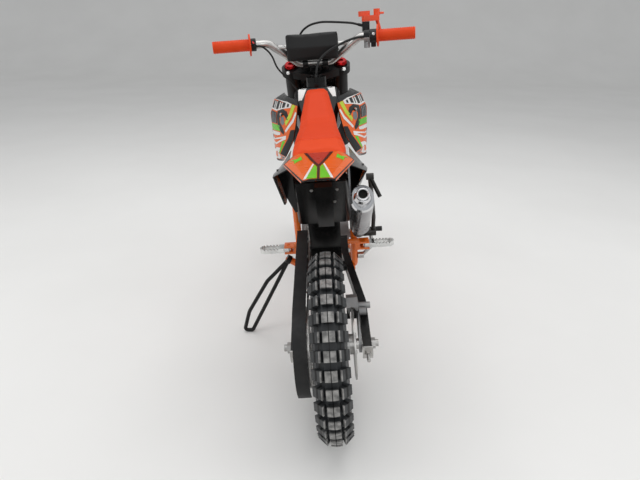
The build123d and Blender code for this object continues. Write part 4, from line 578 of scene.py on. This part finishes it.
def swell(piece, voxel, cap):
    """Remesh a piece and blow it up a little. No point moves by more than cap."""
    remesh = piece.modifiers.new("remesh", "REMESH")
    remesh.mode = "VOXEL"
    remesh.voxel_size = voxel
    even = bpy.data.meshes.new_from_object(shaped(piece))
    piece.modifiers.clear()
    piece.data = even
    up = [vert.normal.z for vert in even.vertices]
    cloth = piece.modifiers.new("cloth", "CLOTH")
    cloth.settings.use_pressure = True
    cloth.settings.uniform_pressure_force = CLOTH_PRESSURE
    cloth.settings.effector_weights.gravity = 0.0
    cloth.point_cache.frame_end = CLOTH_FRAMES
    for step in range(1, CLOTH_FRAMES + 1):
        SCENE.frame_set(step)
    blown = [vert.co.copy() for vert in shaped(piece).data.vertices]
    piece.modifiers.clear()
    SCENE.frame_set(1)
    for vert, last, facing_up in zip(even.vertices, blown, up):
        move = last - vert.co
        move.length = min(move.length, cap if facing_up > UNDERSIDE else 0.0)
        vert.co += move
    piece.modifiers.new("smooth", "SUBSURF")
    piece.data = bpy.data.meshes.new_from_object(shaped(piece))
    piece.modifiers.clear()
    piece.data.shade_smooth()


# %% [markdown]
# The seat's rings run from its tail to its tip on the tank. The cover dips where it is
# sewn across, at the kick.

# %% The seat
# Columns: place along the bike, half width, underside, top
SEAT_STATIONS = (
    (169, 59, 566, 589), (190, 60.5, 560, 595), (212, 60.5, 556, 599.5), (245, 58.5, 550, 608),
    (280, 54.5, 547, 615.5), (315, 50.5, 549, 622), (350, 48.5, 554, 629.5), (380, 46.5, 571, 640),
    (410, 42.5, 592, 652.5), (436, 38.5, 610, 664), (460, 35, 628, 675.5), (477, 31.5, 646, 683),
    (487, 27.5, 660, 687), (493, 21, 668, 688),
)
# The dip at the kick: its place, depth and spread
SEAT_KICK_Y, KICK_DEPTH, KICK_SPREAD = 234, 0.0016, 3.2
# Columns: share of the half width, drop below the top as a share of the depth
SEAT_SECTION = (
    (0, 0), (0.5, 0), (0.85, 0.015), (0.965, 0.07), (1, 0.18), (1, 0.5), (0.97, 0.85), (0.92, 1),
)

rings = []
for y, half, low, top in SEAT_STATIONS:
    side = [(half * share, top - (top - low) * drop) for share, drop in SEAT_SECTION]
    outline = side + [(-x, z) for x, z in reversed(side[1:])]
    rings.append([at(x, y, z) for x, z in outline])
seat = make_piece("seat_cover", add_loft(bmesh.new(), rings), "seat_vinyl", None, smooth=True)
swell(seat, voxel=0.005, cap=0.0028)
for vert in seat.data.vertices:
    place = UPRIGHT @ vert.co
    from_kick = (place.y * 1000 - SEAT_KICK_Y) / KICK_SPREAD
    if abs(from_kick) < 3 and vert.normal.z > -0.3:
        vert.co -= vert.normal * (KICK_DEPTH * 2.718 ** (-from_kick * from_kick))
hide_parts("seat")
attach(seat, "chassis")
print("swelled seat faces", len(seat.data.polygons))

# %% [markdown]
# The cover is sewn across at the kick. A row of short stitches runs behind the seam,
# each a small thread end laid on the cover.

# %% The seat's stitches
STITCH_STEP, STITCH_LONG, STITCH_R = 5.0, 3.2, 0.45
STITCHES_A_SIDE = 10
STITCH_Y, STITCH_LIFT = SEAT_KICK_Y - 6, 0.0002

mesh = bmesh.new()
for index in range(-STITCHES_A_SIDE, STITCHES_A_SIDE + 1):
    hit, place, normal, _ = seat.ray_cast(at(index * STITCH_STEP, STITCH_Y, 700), -bike_up)
    if hit:
        laid = facing(place + normal * STITCH_LIFT, bike_right)
        add_cone(mesh, laid, 6, STITCH_R, STITCH_R, STITCH_LONG)
make_piece("seat_stitches", mesh, "lever_orange", "chassis")

# %% [markdown]
# The bar pad is a foam wedge strapped round the crossbar: flat on top, creased
# along its middle and open below, where the bar goes in.

# %% The bar pad
CROSSBAR = (619.1, 789.6)
PAD_ENDS = (-79.5, 68.5)
PAD_END_TUCK = 0.90
# Columns: ahead of the crossbar, above it
PAD_OUTLINE = ((1.5, -39), (-13, -40), (-20, -4), (-7.5, 32), (17, 30), (17, -5.5), (1.5, -5.5))

rings = []
for share in (0.0, 0.02, 0.25, 0.5, 0.75, 0.98, 1.0):
    x = PAD_ENDS[0] + (PAD_ENDS[1] - PAD_ENDS[0]) * share
    tuck = PAD_END_TUCK if share in (0.0, 1.0) else 1.0
    rings.append([
        at(x, CROSSBAR[0] + ahead * tuck, CROSSBAR[1] + up * tuck) for ahead, up in PAD_OUTLINE])
pad = make_piece("bar_pad_cover", add_loft(bmesh.new(), rings), "pad_vinyl", None, smooth=True)
swell(pad, voxel=0.004, cap=0.0015)
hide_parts("bar_pad")
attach(pad, "steering")
print("swelled pad faces", len(pad.data.polygons))

# %% [markdown]
# Each sticker is a flat outline, cut into small cells and pressed onto its panel by
# casting every corner along one direction. A corner just past the panel's edge is pulled
# in to it. A side sticker is drawn as (ahead, up), one seen from above as (right, ahead).

# %% Laying stickers
STICKER_CELL, STICKER_LIFT, STICKER_REACH = 6, 0.0004, 0.012
LOOKS = {
    "left": lambda a, b: (at(-300, a, b), bike_right),
    "right": lambda a, b: (at(300, a, b), -bike_right),
    "above": lambda a, b: (at(a, b, 660), -bike_up),
    "tank_top": lambda a, b: (at(a, b, 760), -bike_up),
}


def add_sticker(mesh, node, look, outline, lift):
    """Lay one outline on a node, seen from the side that look names, at a height above it."""
    panel = frame["nodes"][node]
    flat = bmesh.new()
    flat.faces.new([flat.verts.new((a, b, 0)) for a, b in outline])
    for axis, way in ((0, (1, 0, 0)), (1, (0, 1, 0))):
        spread = [point[axis] for point in outline]
        first_cut = int(min(spread)) // STICKER_CELL * STICKER_CELL
        for cut in range(first_cut, int(max(spread)) + 1, STICKER_CELL):
            bmesh.ops.bisect_plane(
                flat, geom=flat.verts[:] + flat.edges[:] + flat.faces[:], plane_co=Vector(way) * cut,
                plane_no=way)
    bmesh.ops.triangulate(flat, faces=flat.faces)
    pressed, depths = {}, {}
    for vert in flat.verts:
        start, way = LOOKS[look](vert.co.x, vert.co.y)
        hit, place, _, _ = panel.ray_cast(start, way)
        if hit:
            depths[vert] = (place - start).length
            pressed[vert] = mesh.verts.new(place - way * lift)
    for vert in flat.verts:
        beyond = [edge.other_vert(vert) for edge in vert.link_edges]
        near = [depths[other] for other in beyond if other in depths]
        if vert not in depths and near:
            start, way = LOOKS[look](vert.co.x, vert.co.y)
            beside = start + way * (sum(near) / len(near))
            found, place, _, _ = panel.closest_point_on_mesh(beside)
            if found and (place - beside).length < STICKER_REACH:
                pressed[vert] = mesh.verts.new(place - way * lift)
    for face in flat.faces:
        if all(vert in pressed for vert in face.verts):
            mesh.faces.new([pressed[vert] for vert in face.verts])
    flat.free()


def lay_film(node, looks, film, names):
    """Lay outlines on a node from each of the looks: a piece for each finish and layer."""
    for (finish_name, layer), outlines in film.items():
        mesh = bmesh.new()
        for outline in outlines:
            for look in looks:
                add_sticker(mesh, node, look, outline, STICKER_LIFT * layer)
        make_piece(names[layer - 1].format(finish_name), mesh, finish_name, "chassis")


# %% [markdown]
# The shrouds carry a band of blocks along the top, grey bars, a green flash, a leaf
# and long sweeps down to the tip. The shapes repeat on both sides.

# %% The shroud graphics
# Outlines as (ahead, up), by finish and layer
SHROUD_FILM = {
    ("black_film", 1): (
        ((448, 667), (470, 668), (604, 668), (606, 654), (560, 656), (500, 655), (446, 650)),
        ((440, 590), (466, 584), (470, 574), (478, 548), (491, 502), (514, 494), (534, 491), (532, 478),
         (486, 486), (446, 504), (440, 556)),
        ((556, 620), (606, 620), (602, 586), (548, 590)),
        ((552, 624), (520, 634), (494, 630), (479, 614), (488, 608), (506, 618), (522, 617), (531, 608),
         (527, 596), (508, 584), (497, 574), (500, 566), (520, 571), (542, 586), (550, 604)),
        ((597, 566), (601, 564), (578, 508), (560, 486), (520, 486), (520, 490), (554, 490), (571, 510)),
    ),
    ("black_film", 2): (
        ((486, 650), (496, 651), (498, 641), (488, 643)),
        ((506, 652), (524, 652), (526, 636), (510, 639)),
        ((532, 652), (538, 652), (540, 633), (534, 634)),
        ((546, 652), (566, 652), (568, 628), (550, 630)),
        ((574, 651), (580, 651), (582, 628), (576, 628)),
        ((588, 650), (602, 649), (605, 628), (590, 628)),
    ),
    ("white_film", 1): (
        ((474, 652), (500, 655), (606, 652), (610, 624), (560, 624), (520, 634), (478, 642)),
        ((522, 569), (598, 563), (595, 552), (540, 558), (522, 562)),
        ((448, 632), (454, 634), (464, 612), (494, 578), (488, 574), (458, 606)),
        ((486, 566), (520, 556), (560, 546), (586, 546), (582, 528), (540, 532), (484, 556)),
        ((500, 530), (530, 526), (560, 514), (564, 500), (552, 490), (520, 494), (498, 504)),
    ),
    ("grey_film", 1): (((506, 614), (524, 613), (524, 596), (510, 590), (500, 598)),),
    ("grey_film", 2): (
        ((562, 618), (568, 618), (562, 590), (556, 591)),
        ((575, 618), (581, 618), (575, 589), (569, 590)),
        ((588, 618), (594, 618), (590, 588), (584, 588)),
    ),
    ("green_film", 1): (
        ((530, 588), (602, 583), (598, 566), (524, 572)),
        ((484, 552), (500, 548), (498, 520), (490, 514)),
    ),
    ("lime_film", 1): (((456, 650), (472, 651), (480, 626), (498, 600), (490, 592), (470, 618)),),
    ("orange_film", 2): (
        ((500, 556), (548, 545), (574, 541), (570, 535), (540, 538)),
        ((516, 518), (534, 514), (548, 500), (536, 496), (520, 502)),
    ),
}
lay_film("shrouds", ("left", "right"), SHROUD_FILM, ("shroud_{}", "shroud_over_{}"))

# Outlines as (right, ahead)
# White blobs on the tank's top shoulders, laid as film: painted highlights of the lamp overhead
TANK_PAINTED_HIGHLIGHTS = {
    ("white_film", 1): (
        ((-52, 504), (-51, 528), (-34, 536), (-28, 530), (-36, 514), (-42, 504)),
        ((52, 508), (50, 530), (34, 537), (29, 530), (36, 518), (43, 508)),
    ),
}
lay_film("fuel_tank", ("tank_top",), TANK_PAINTED_HIGHLIGHTS, ("tank_painted_highlights",))

# %% [markdown]
# The rear fender has a black edge, a dull red wedge pointing back and stripes that
# run to its tail, with a green arrow on each shoulder.

# %% The fender graphics
# Outlines as (right, ahead), by finish and layer
FENDER_FILM = {
    ("black_film", 1): (
        ((-33, -54), (-76, 102), (-71, 102), (-28, -50)),
        ((33, -54), (76, 102), (71, 102), (28, -50)),
        ((-33, -55), (33, -55), (30, -49), (-30, -49)),
        ((-76, 102), (-59, 166), (-55, 166), (-71, 102)),
        ((76, 102), (59, 166), (55, 166), (71, 102)),
    ),
    ("black_film", 2): (
        ((-32, 164), (-25, 164), (0, 58), (25, 164), (32, 164), (2.6, 44), (2, -52), (-2, -52), (-2.6, 44)),
    ),
    ("white_film", 1): (
        ((-9, 66), (-12, 70), (-27, -46), (-22, -46)),
        ((9, 66), (12, 70), (27, -46), (22, -46)),
    ),
    ("dull_red_film", 1): (((-26, 164), (24, 164), (0, 54)),),
    ("green_film", 1): (
        ((-3, 40), (-8, 62), (-22, -46), (-3, -46)),
        ((3, 40), (8, 62), (22, -46), (3, -46)),
        ((-38, 142), (-45, 120), (-60, 112), (-50, 104), (-50, 80), (-40, 104), (-34, 112)),
        ((40, 144), (47, 122), (62, 114), (52, 106), (52, 82), (42, 106), (36, 114)),
    ),
}
lay_film("rear_fender", ("above",), FENDER_FILM, ("fender_{}_1", "fender_{}_2"))

# %% [markdown]
# Behind each side panel a thin black plate closes the gap to the mudguard: a dark sheet
# put there as painted shade for the hollow under the panel. It is a flat plate across the bike.

# %% The black plates in the side panels' hollows
SHADE_PLATE_Y, SHADE_PLATE_THICK = 204.0, 1.5
# Columns: side, outline as (outward, up)
SHADE_PLATES = (
    (-1, ((60, 562), (70, 563), (99, 541), (84, 482), (66, 442), (60, 442))),
    (1, ((60, 562), (70, 563), (99, 541), (84, 500), (66, 470), (60, 470))),
)

# Black plates where the hollow under each panel shows: painted shade
mesh = bmesh.new()
for side, outline in SHADE_PLATES:
    add_loft(mesh, [
        [at(side * x, y, z) for x, z in outline] for y in (SHADE_PLATE_Y, SHADE_PLATE_Y + SHADE_PLATE_THICK)])
make_piece("panel_shade_plates", mesh, "black_plastic", "chassis")

# %% [markdown]
# Some nodes are cast or moulded in one colour but carry a second one: the caliper's
# body is black, and so are half of the bar's small parts. Faces inside a box of the
# upright bike take the second finish, all of them or those that face one way.

# %% A second finish on part of a node
# Columns: node, finish, lowest and highest corner of the box, and a direction if it counts
SECOND_FINISH = (
    ("rear_caliper", "black_paint", (36, 10, 215), (66, 90, 262)),
    ("kill_switch", "red_plastic", (-230, 500, 780), (-150, 577, 830)),
    ("brake_master", "black_paint", (100, 560, 800), (220, 700, 880)),
    ("brake_pedal", "black_rubber", (112, 425, 265), (175, 470, 305)),
    ("silencer", "satin_steel", (40, 72, 340), (130, 260, 560)),
    ("shrouds", "black_plastic", (-160, 430, 651), (160, 640, 690)),
    ("shrouds", "black_plastic", (-160, 430, 470), (160, 640, 690), (0, -1, 0)),
    ("shrouds", "black_plastic", (-160, 430, 470), (160, 640, 490)),
    ("rear_fender", "black_plastic", (-90, -60, 560), (90, 180, 600), (0, -1, 0)),
)
# A face looks in a direction when the cosine between the two is above this
FACED = 0.75
for node, finish_name, lowest, highest, *faced in SECOND_FINISH:
    piece, second = frame["nodes"][node], FINISHES[finish_name]
    if second.name not in piece.data.materials:
        piece.data.materials.append(second)
    chosen = piece.data.materials.find(second.name)
    changed = 0
    for face in piece.data.polygons:
        centre = UPRIGHT @ face.center * 1000
        in_box = all(low <= value <= high for low, value, high in zip(lowest, centre, highest))
        if in_box and all(face.normal.dot(bike_way(*way)) > FACED for way in faced):
            face.material_index = chosen
            changed += 1
    print(node, finish_name, changed, "faces")

# %% [markdown]
# Bolts hold everything on. One function adds a hex head with its washer, and one table
# says where they go. A place is seated on its node by a ray against the bolt's direction.

# %% Bolts
WASHER_THICK = 1.0
HEAD_SIDES, WASHER_SIDES = 6, 20


def seat_bolt(mesh, node, start, outward, across, high):
    """Set a chamfered hex head on its washer where a ray from start meets a node."""
    hit, foot, _, _ = frame["nodes"][node].ray_cast(start, -outward)
    if not hit:
        print("no seat on", node, "for a bolt")
        return
    turn = facing(foot, outward)
    washer, corner = across * 0.72, across / 2 / cos(radians(30))
    # Columns: sides, lower radius, upper radius, foot, height
    for sides, lower, upper, rise, tall in (
        (WASHER_SIDES, washer, washer, 0.0, WASHER_THICK),
        (HEAD_SIDES, corner, corner, WASHER_THICK, high * 0.8),
        (HEAD_SIDES, corner, corner * 0.8, WASHER_THICK + high * 0.8, high * 0.2),
    ):
        middle = Matrix.Translation((0, 0, (rise + tall / 2) / 1000))
        add_cone(mesh, turn @ middle, sides, lower, upper, tall)


DOWN_BACK = (0, -0.78, -0.63)
BOTH = (-1, 1)
# Rows by body and finish: node, sides, place on the right, direction there, across, height
BOLTS = {
    ("chassis", "steel"): (
        ("inner_mudguard", (-1,), (20, 98.5, 528), DOWN_BACK, 5, 2),
        ("inner_mudguard", (1,), (34, 99, 527), DOWN_BACK, 5, 2),
        ("inner_mudguard", (1,), (28, 130, 490), DOWN_BACK, 5, 2),
        ("shrouds", BOTH, (200, 521, 618), (1, 0, 0), 8, 3),
        ("side_panels", BOTH, (200, 300, 520), (1, 0, 0), 8, 3),
        ("swingarm", BOTH, (200, 300, 290), (1, 0, 0), 10, 4),
    ),
    ("steering", "bright_alloy"): (
        ("triple_clamps", BOTH, (83, 653, 716), (0, -0.96, 0.28), 7, 4),
        ("handlebar", (-1,), (86, 613, 791), (0, -0.9, 0.43), 6, 3),
        ("throttle_housing", (1,), (166, 592, 806), (0, -0.9, 0.43), 6, 2),
    ),
}
for (body, finish_name), rows in BOLTS.items():
    mesh = bmesh.new()
    for node, sides, place, way, across, high in rows:
        for side in sides:
            outward = bike_way(side * way[0], *way[1:])
            seat_bolt(mesh, node, at(side * place[0], *place[1:]) + outward * 0.1, outward, across, high)
    make_piece(f"{body}_bolts_{finish_name}", mesh, finish_name, body)

# %% [markdown]
# Disc, sprocket and engine cover bolts stand in rings, so their table is shorter.

# %% Rings of bolts
# Columns: piece, body, node, side, ring centre as (ahead, up), ring radius, bolts, across, height
BOLT_RINGS = (
    ("sprocket_bolts", "rear_wheel", "rear_sprocket", -1, REAR_AXLE, 34, 6, 7, 3),
    ("rear_disc_bolts", "rear_wheel", "rear_disc", 1, REAR_AXLE, 21, 6, 6, 2.5),
    ("front_disc_bolts", "front_wheel", "front_disc", -1, FRONT_AXLE, 21, 6, 6, 2.5),
    ("right_cover_bolts", "chassis", "crankcase", 1, (440.4, 300), 49, 7, 6, 3),
    ("left_cover_bolts", "chassis", "crankcase", -1, (482.4, 300), 43, 6, 6, 3),
)
RING_START = 0.3
for name, body, node, side, (ahead, up), radius, count, across, high in BOLT_RINGS:
    mesh = bmesh.new()
    for index in range(count):
        turn = 2 * pi * (index + RING_START) / count
        start = at(side * 250, ahead + radius * cos(turn), up + radius * sin(turn))
        seat_bolt(mesh, node, start, bike_right * side, across, high)
    make_piece(name, mesh, "steel", body)

# %% [markdown]
# A roller chain is outer and inner plates in turn, joined by pins. The frame holds its
# two sides as plain strips, and here each link gets its waisted plate and pin heads.

# %% The chain's plates
CHAIN_X = -50.0
CHAIN_PITCH = 12.7
# Columns: ahead, up, radius of the circle of pins
REAR_SPROCKET = (*REAR_AXLE, 82.95)
FRONT_SPROCKET = (381.4, 300.0, 28.5)
PLATE_ROUND, PLATE_WAIST = 4.6, 3.2
PIN_R, PIN_HIGH = 2.0, 1.8
# Distances from the chain's middle: the strips' faces, even and odd plates, pin heads
STRIP_FACE, PLATE_FACES, PIN_MIDDLE = 6.0, (6.9, 7.4), 7.2


def chain_pins():
    """The chain's pins as (ahead, up), evenly spaced round both sprockets."""
    (rear_y, rear_z, rear_r), (front_y, front_z, front_r) = REAR_SPROCKET, FRONT_SPROCKET
    tilt = atan2(front_z - rear_z, front_y - rear_y)
    run = ((front_y - rear_y) ** 2 + (front_z - rear_z) ** 2 - (rear_r - front_r) ** 2) ** 0.5
    lean = atan2(run, rear_r - front_r)
    # Columns: length, sprocket that it touches, angle there, is it straight
    parts = (
        (run, REAR_SPROCKET, tilt + lean, True),
        (2 * lean * front_r, FRONT_SPROCKET, tilt + lean, False),
        (run, FRONT_SPROCKET, tilt - lean, True),
        (2 * (pi - lean) * rear_r, REAR_SPROCKET, tilt - lean, False),
    )
    whole = sum(part[0] for part in parts)
    count = round(whole / CHAIN_PITCH)
    pins = []
    for index in range(count):
        gone = whole * index / count
        for length, (y, z, r), turn, straight in parts:
            if gone < length:
                break
            gone -= length
        if not straight:
            turn, gone = turn - gone / r, 0.0
        pins.append((y + r * cos(turn) + gone * sin(turn), z + r * sin(turn) - gone * cos(turn)))
    return pins


def add_plate(mesh, first, last, inner, outer):
    """A waisted link plate between two pins, from depth inner to outer beside the chain."""
    first, last = Vector(first), Vector(last)
    angle = atan2(last.y - first.y, last.x - first.x)
    outline = []
    for centre, start in ((last, angle - pi / 2), (first, angle + pi / 2)):
        for step in range(6):
            turn = start + pi * step / 5
            outline.append(centre + PLATE_ROUND * Vector((cos(turn), sin(turn))))
        outline.append((first + last) / 2 - PLATE_WAIST * Vector((cos(start), sin(start))))
    add_loft(mesh, [[at(x, y, z) for y, z in outline] for x in (inner, outer)])


pins = chain_pins()
mesh = bmesh.new()
for index, pin in enumerate(pins):
    after = pins[(index + 1) % len(pins)]
    for side in BOTH:
        add_plate(
            mesh, pin, after, CHAIN_X + side * STRIP_FACE, CHAIN_X + side * PLATE_FACES[index % 2])
        head = facing(at(CHAIN_X + side * PIN_MIDDLE, *pin), bike_right * side)
        add_cone(mesh, head, 8, PIN_R, PIN_R * 0.8, PIN_HIGH)
make_piece("chain_links", mesh, "steel", "chassis")
print("chain links", len(pins))

# %% [markdown]
# The grips are soft rubber with rows of small raised squares, so a glove holds. The
# squares go round each grip in rings, square to its own axis.

# %% The grips' squares
GRIP_LENGTH, GRIP_R = 105.0, 15.5
GRIP_RINGS, GRIP_SQUARES = 19, 22
GRIP_MARGIN_OUT, GRIP_MARGIN_IN = 5.0, 8.0
# The right grip's outer end and its direction inward
GRIP_END, GRIP_INWARD = (281, 585, 803), (-0.98474, 0.17378, -0.00644)
SQUARE = Matrix.Diagonal((0.0012, 0.0028, 0.0030, 1))

mesh = bmesh.new()
covered = GRIP_LENGTH - GRIP_MARGIN_OUT - GRIP_MARGIN_IN
for side in BOTH:
    end = at(side * GRIP_END[0], *GRIP_END[1:])
    inward = bike_way(side * GRIP_INWARD[0], *GRIP_INWARD[1:])
    for ring in range(GRIP_RINGS):
        along = (GRIP_MARGIN_OUT + covered * ring / (GRIP_RINGS - 1)) / 1000
        middle = facing(end + inward * along, inward)
        for square in range(GRIP_SQUARES):
            turned = middle @ Matrix.Rotation(2 * pi * square / GRIP_SQUARES, 4, "Z")
            place = turned @ Matrix.Translation((GRIP_R / 1000, 0, 0)) @ SQUARE
            bmesh.ops.create_cube(mesh, size=1.0, matrix=place)
make_piece("grip_squares", mesh, "orange_rubber", "steering")

# %% [markdown]
# The silencer ends in a cone with a rolled outlet, and a weld bead runs round the
# outlet's foot. A dark disc closes the outlet a little way in, as painted shade for the
# inside of the pipe.

# %% The silencer's outlet
SILENCER_REAR, SILENCER_FRONT = (84, 60, 517), (84, 218, 392)
OUTLET_OUT = bike_way(*(rear - front for rear, front in zip(SILENCER_REAR, SILENCER_FRONT)))


def add_ring(mesh, centre, way, radius, thick):
    """A round bead of a radius and thickness, in millimetres, about a direction."""
    turn = facing(centre, way)
    started = bmesh.ops.create_circle(
        mesh, segments=8, radius=thick / 2000,
        matrix=turn @ Matrix.Translation((radius / 1000, 0, 0)) @ Matrix.Rotation(pi / 2, 4, "X"))
    edges = list({edge for vert in started["verts"] for edge in vert.link_edges})
    bmesh.ops.spin(
        mesh, geom=started["verts"] + edges, cent=centre, axis=way, angle=2 * pi, steps=40, use_merge=True)


# Distances behind the silencer's end are in metres. Columns: distance, radius, thickness
BEADS = ((0.0235, 11.5, 3.0), (0.016, 13.6, 2.2))
PIPE_SHADE_BEHIND, PIPE_SHADE_R, PIPE_SHADE_THICK = 0.012, 9.3, 1.0
mesh = bmesh.new()
for behind, radius, thick in BEADS:
    add_ring(mesh, at(*SILENCER_REAR) + OUTLET_OUT * behind, OUTLET_OUT, radius, thick)
make_piece("silencer_beads", mesh, "chrome", "chassis", smooth=True)
# A dark disc inside the outlet: painted shade for the depth of the pipe
mesh = bmesh.new()
pipe_shade_place = facing(at(*SILENCER_REAR) + OUTLET_OUT * PIPE_SHADE_BEHIND, OUTLET_OUT)
add_cone(mesh, pipe_shade_place, 28, PIPE_SHADE_R, PIPE_SHADE_R, PIPE_SHADE_THICK)
make_piece("silencer_painted_shade", mesh, "painted_pipe_shade", "chassis")

# %% [markdown]
# The front tyre's tread wraps over its shoulders. The frame's solid has the middle
# blocks, and the shoulder blocks are rows of tapered blocks round the same crown.

# %% The front tyre's shoulder blocks
# Columns: angle round the crown, width, length, height
SHOULDER_BLOCKS = ((38, 11, 15, 5.5), (62, 9, 12, 5))
FRONT_ROWS = 40

mesh = bmesh.new()
for row in range(FRONT_ROWS):
    for side in BOTH:
        for number, (angle, wide, long, high) in enumerate(SHOULDER_BLOCKS):
            spin = 2 * pi * (row + 0.5 * ((number + row) % 2)) / FRONT_ROWS
            place = (
                Matrix.Translation(at(0, *FRONT_AXLE)) @ BIKE.to_3x3().to_4x4()
                @ Matrix.Rotation(spin, 4, "X")
                @ Matrix.Translation((0, 0, (FRONT_AXLE[1] - FRONT_CROWN) / 1000))
                @ Matrix.Rotation(radians(angle) * side, 4, "Y")
                @ Matrix.Translation((0, 0, (FRONT_CROWN - high * 1.05) / 1000))
            )
            stretched = place @ Matrix.Diagonal((wide, long, high, 1)) @ Matrix.Rotation(pi / 4, 4, "Z")
            add_cone(mesh, stretched, 4, 0.78, 0.68, 1.0)
make_piece("front_tyre_shoulders", mesh, "front_tyre_rubber", "front_wheel")

# %% [markdown]
# The studio is a pale floor that sweeps up far behind the bike.

# %% The studio's floor
FLOOR_HALF, WALL_HIGH, SWEEP_RADIUS = 9.0, 7.0, 2.5

mesh = bmesh.new()
bmesh.ops.create_grid(mesh, x_segments=1, y_segments=1, size=FLOOR_HALF)
far = [edge for edge in mesh.edges if all(vert.co.y > 0 for vert in edge.verts)]
risen = bmesh.ops.extrude_edge_only(mesh, edges=far)["geom"]
top = [piece for piece in risen if isinstance(piece, bmesh.types.BMVert)]
bmesh.ops.translate(mesh, verts=top, vec=(0, 0, WALL_HIGH))
bmesh.ops.bevel(
    mesh, geom=far, offset=SWEEP_RADIUS, segments=16, profile=0.5, affect="EDGES", material=-1,
    offset_type="OFFSET",
)
data = bpy.data.meshes.new("studio_floor")
mesh.to_mesh(data)
mesh.free()
data.shade_smooth()
floor = show("studio_floor", data)
paint(floor, finish(
    "studio_paper", (0.84, 0.83, 0.81), (0.81, 0.80, 0.78), (0.75, 0.85), patch=1.5, grain=60,
    bump=0.04))
floor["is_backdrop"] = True
print("floor faces", len(floor.data.polygons))

# %% [markdown]
# A large soft lamp hangs overhead, with weaker ones at the sides and behind the
# camera. All of them face the bike, under an even pale sky.

# %% The lamps and the sky
# Columns: name, place, size, power
LAMPS = (
    ("overhead", (0.0, 0.2, 3.0), 3.2, 46.0),
    ("left_side", (-2.6, -0.8, 1.9), 1.8, 14.0),
    ("right_side", (2.6, -0.9, 1.9), 1.8, 14.0),
    ("behind_camera", (0.3, -3.2, 2.0), 2.0, 16.0),
)
for name, place, size, power in LAMPS:
    lamp = bpy.data.lights.new(name, "AREA")
    lamp.size = size
    lamp.energy = power
    holder = show(name, lamp)
    holder.location = place
    aim = Vector((0, 0, 0.4)) - Vector(place)
    holder.rotation_euler = aim.to_track_quat("-Z", "Y").to_euler()

SKY_COLOUR, SKY_STRENGTH = (0.80, 0.82, 0.84, 1), 0.62
world = bpy.data.worlds.new("studio_sky")
world.use_nodes = True
background = world.node_tree.nodes["Background"]
background.inputs["Color"].default_value = SKY_COLOUR
background.inputs["Strength"].default_value = SKY_STRENGTH
SCENE.world = world
print("lamps", len(LAMPS), "sky", SKY_STRENGTH)

# %% [markdown]
# Last, the dressed bike is measured beside the bare frame.

# %% Measure and finish
low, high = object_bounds()
for name, span in (("frame", cad_high - cad_low), ("dressed", high - low)):
    print(name, [round(value, 4) for value in span])
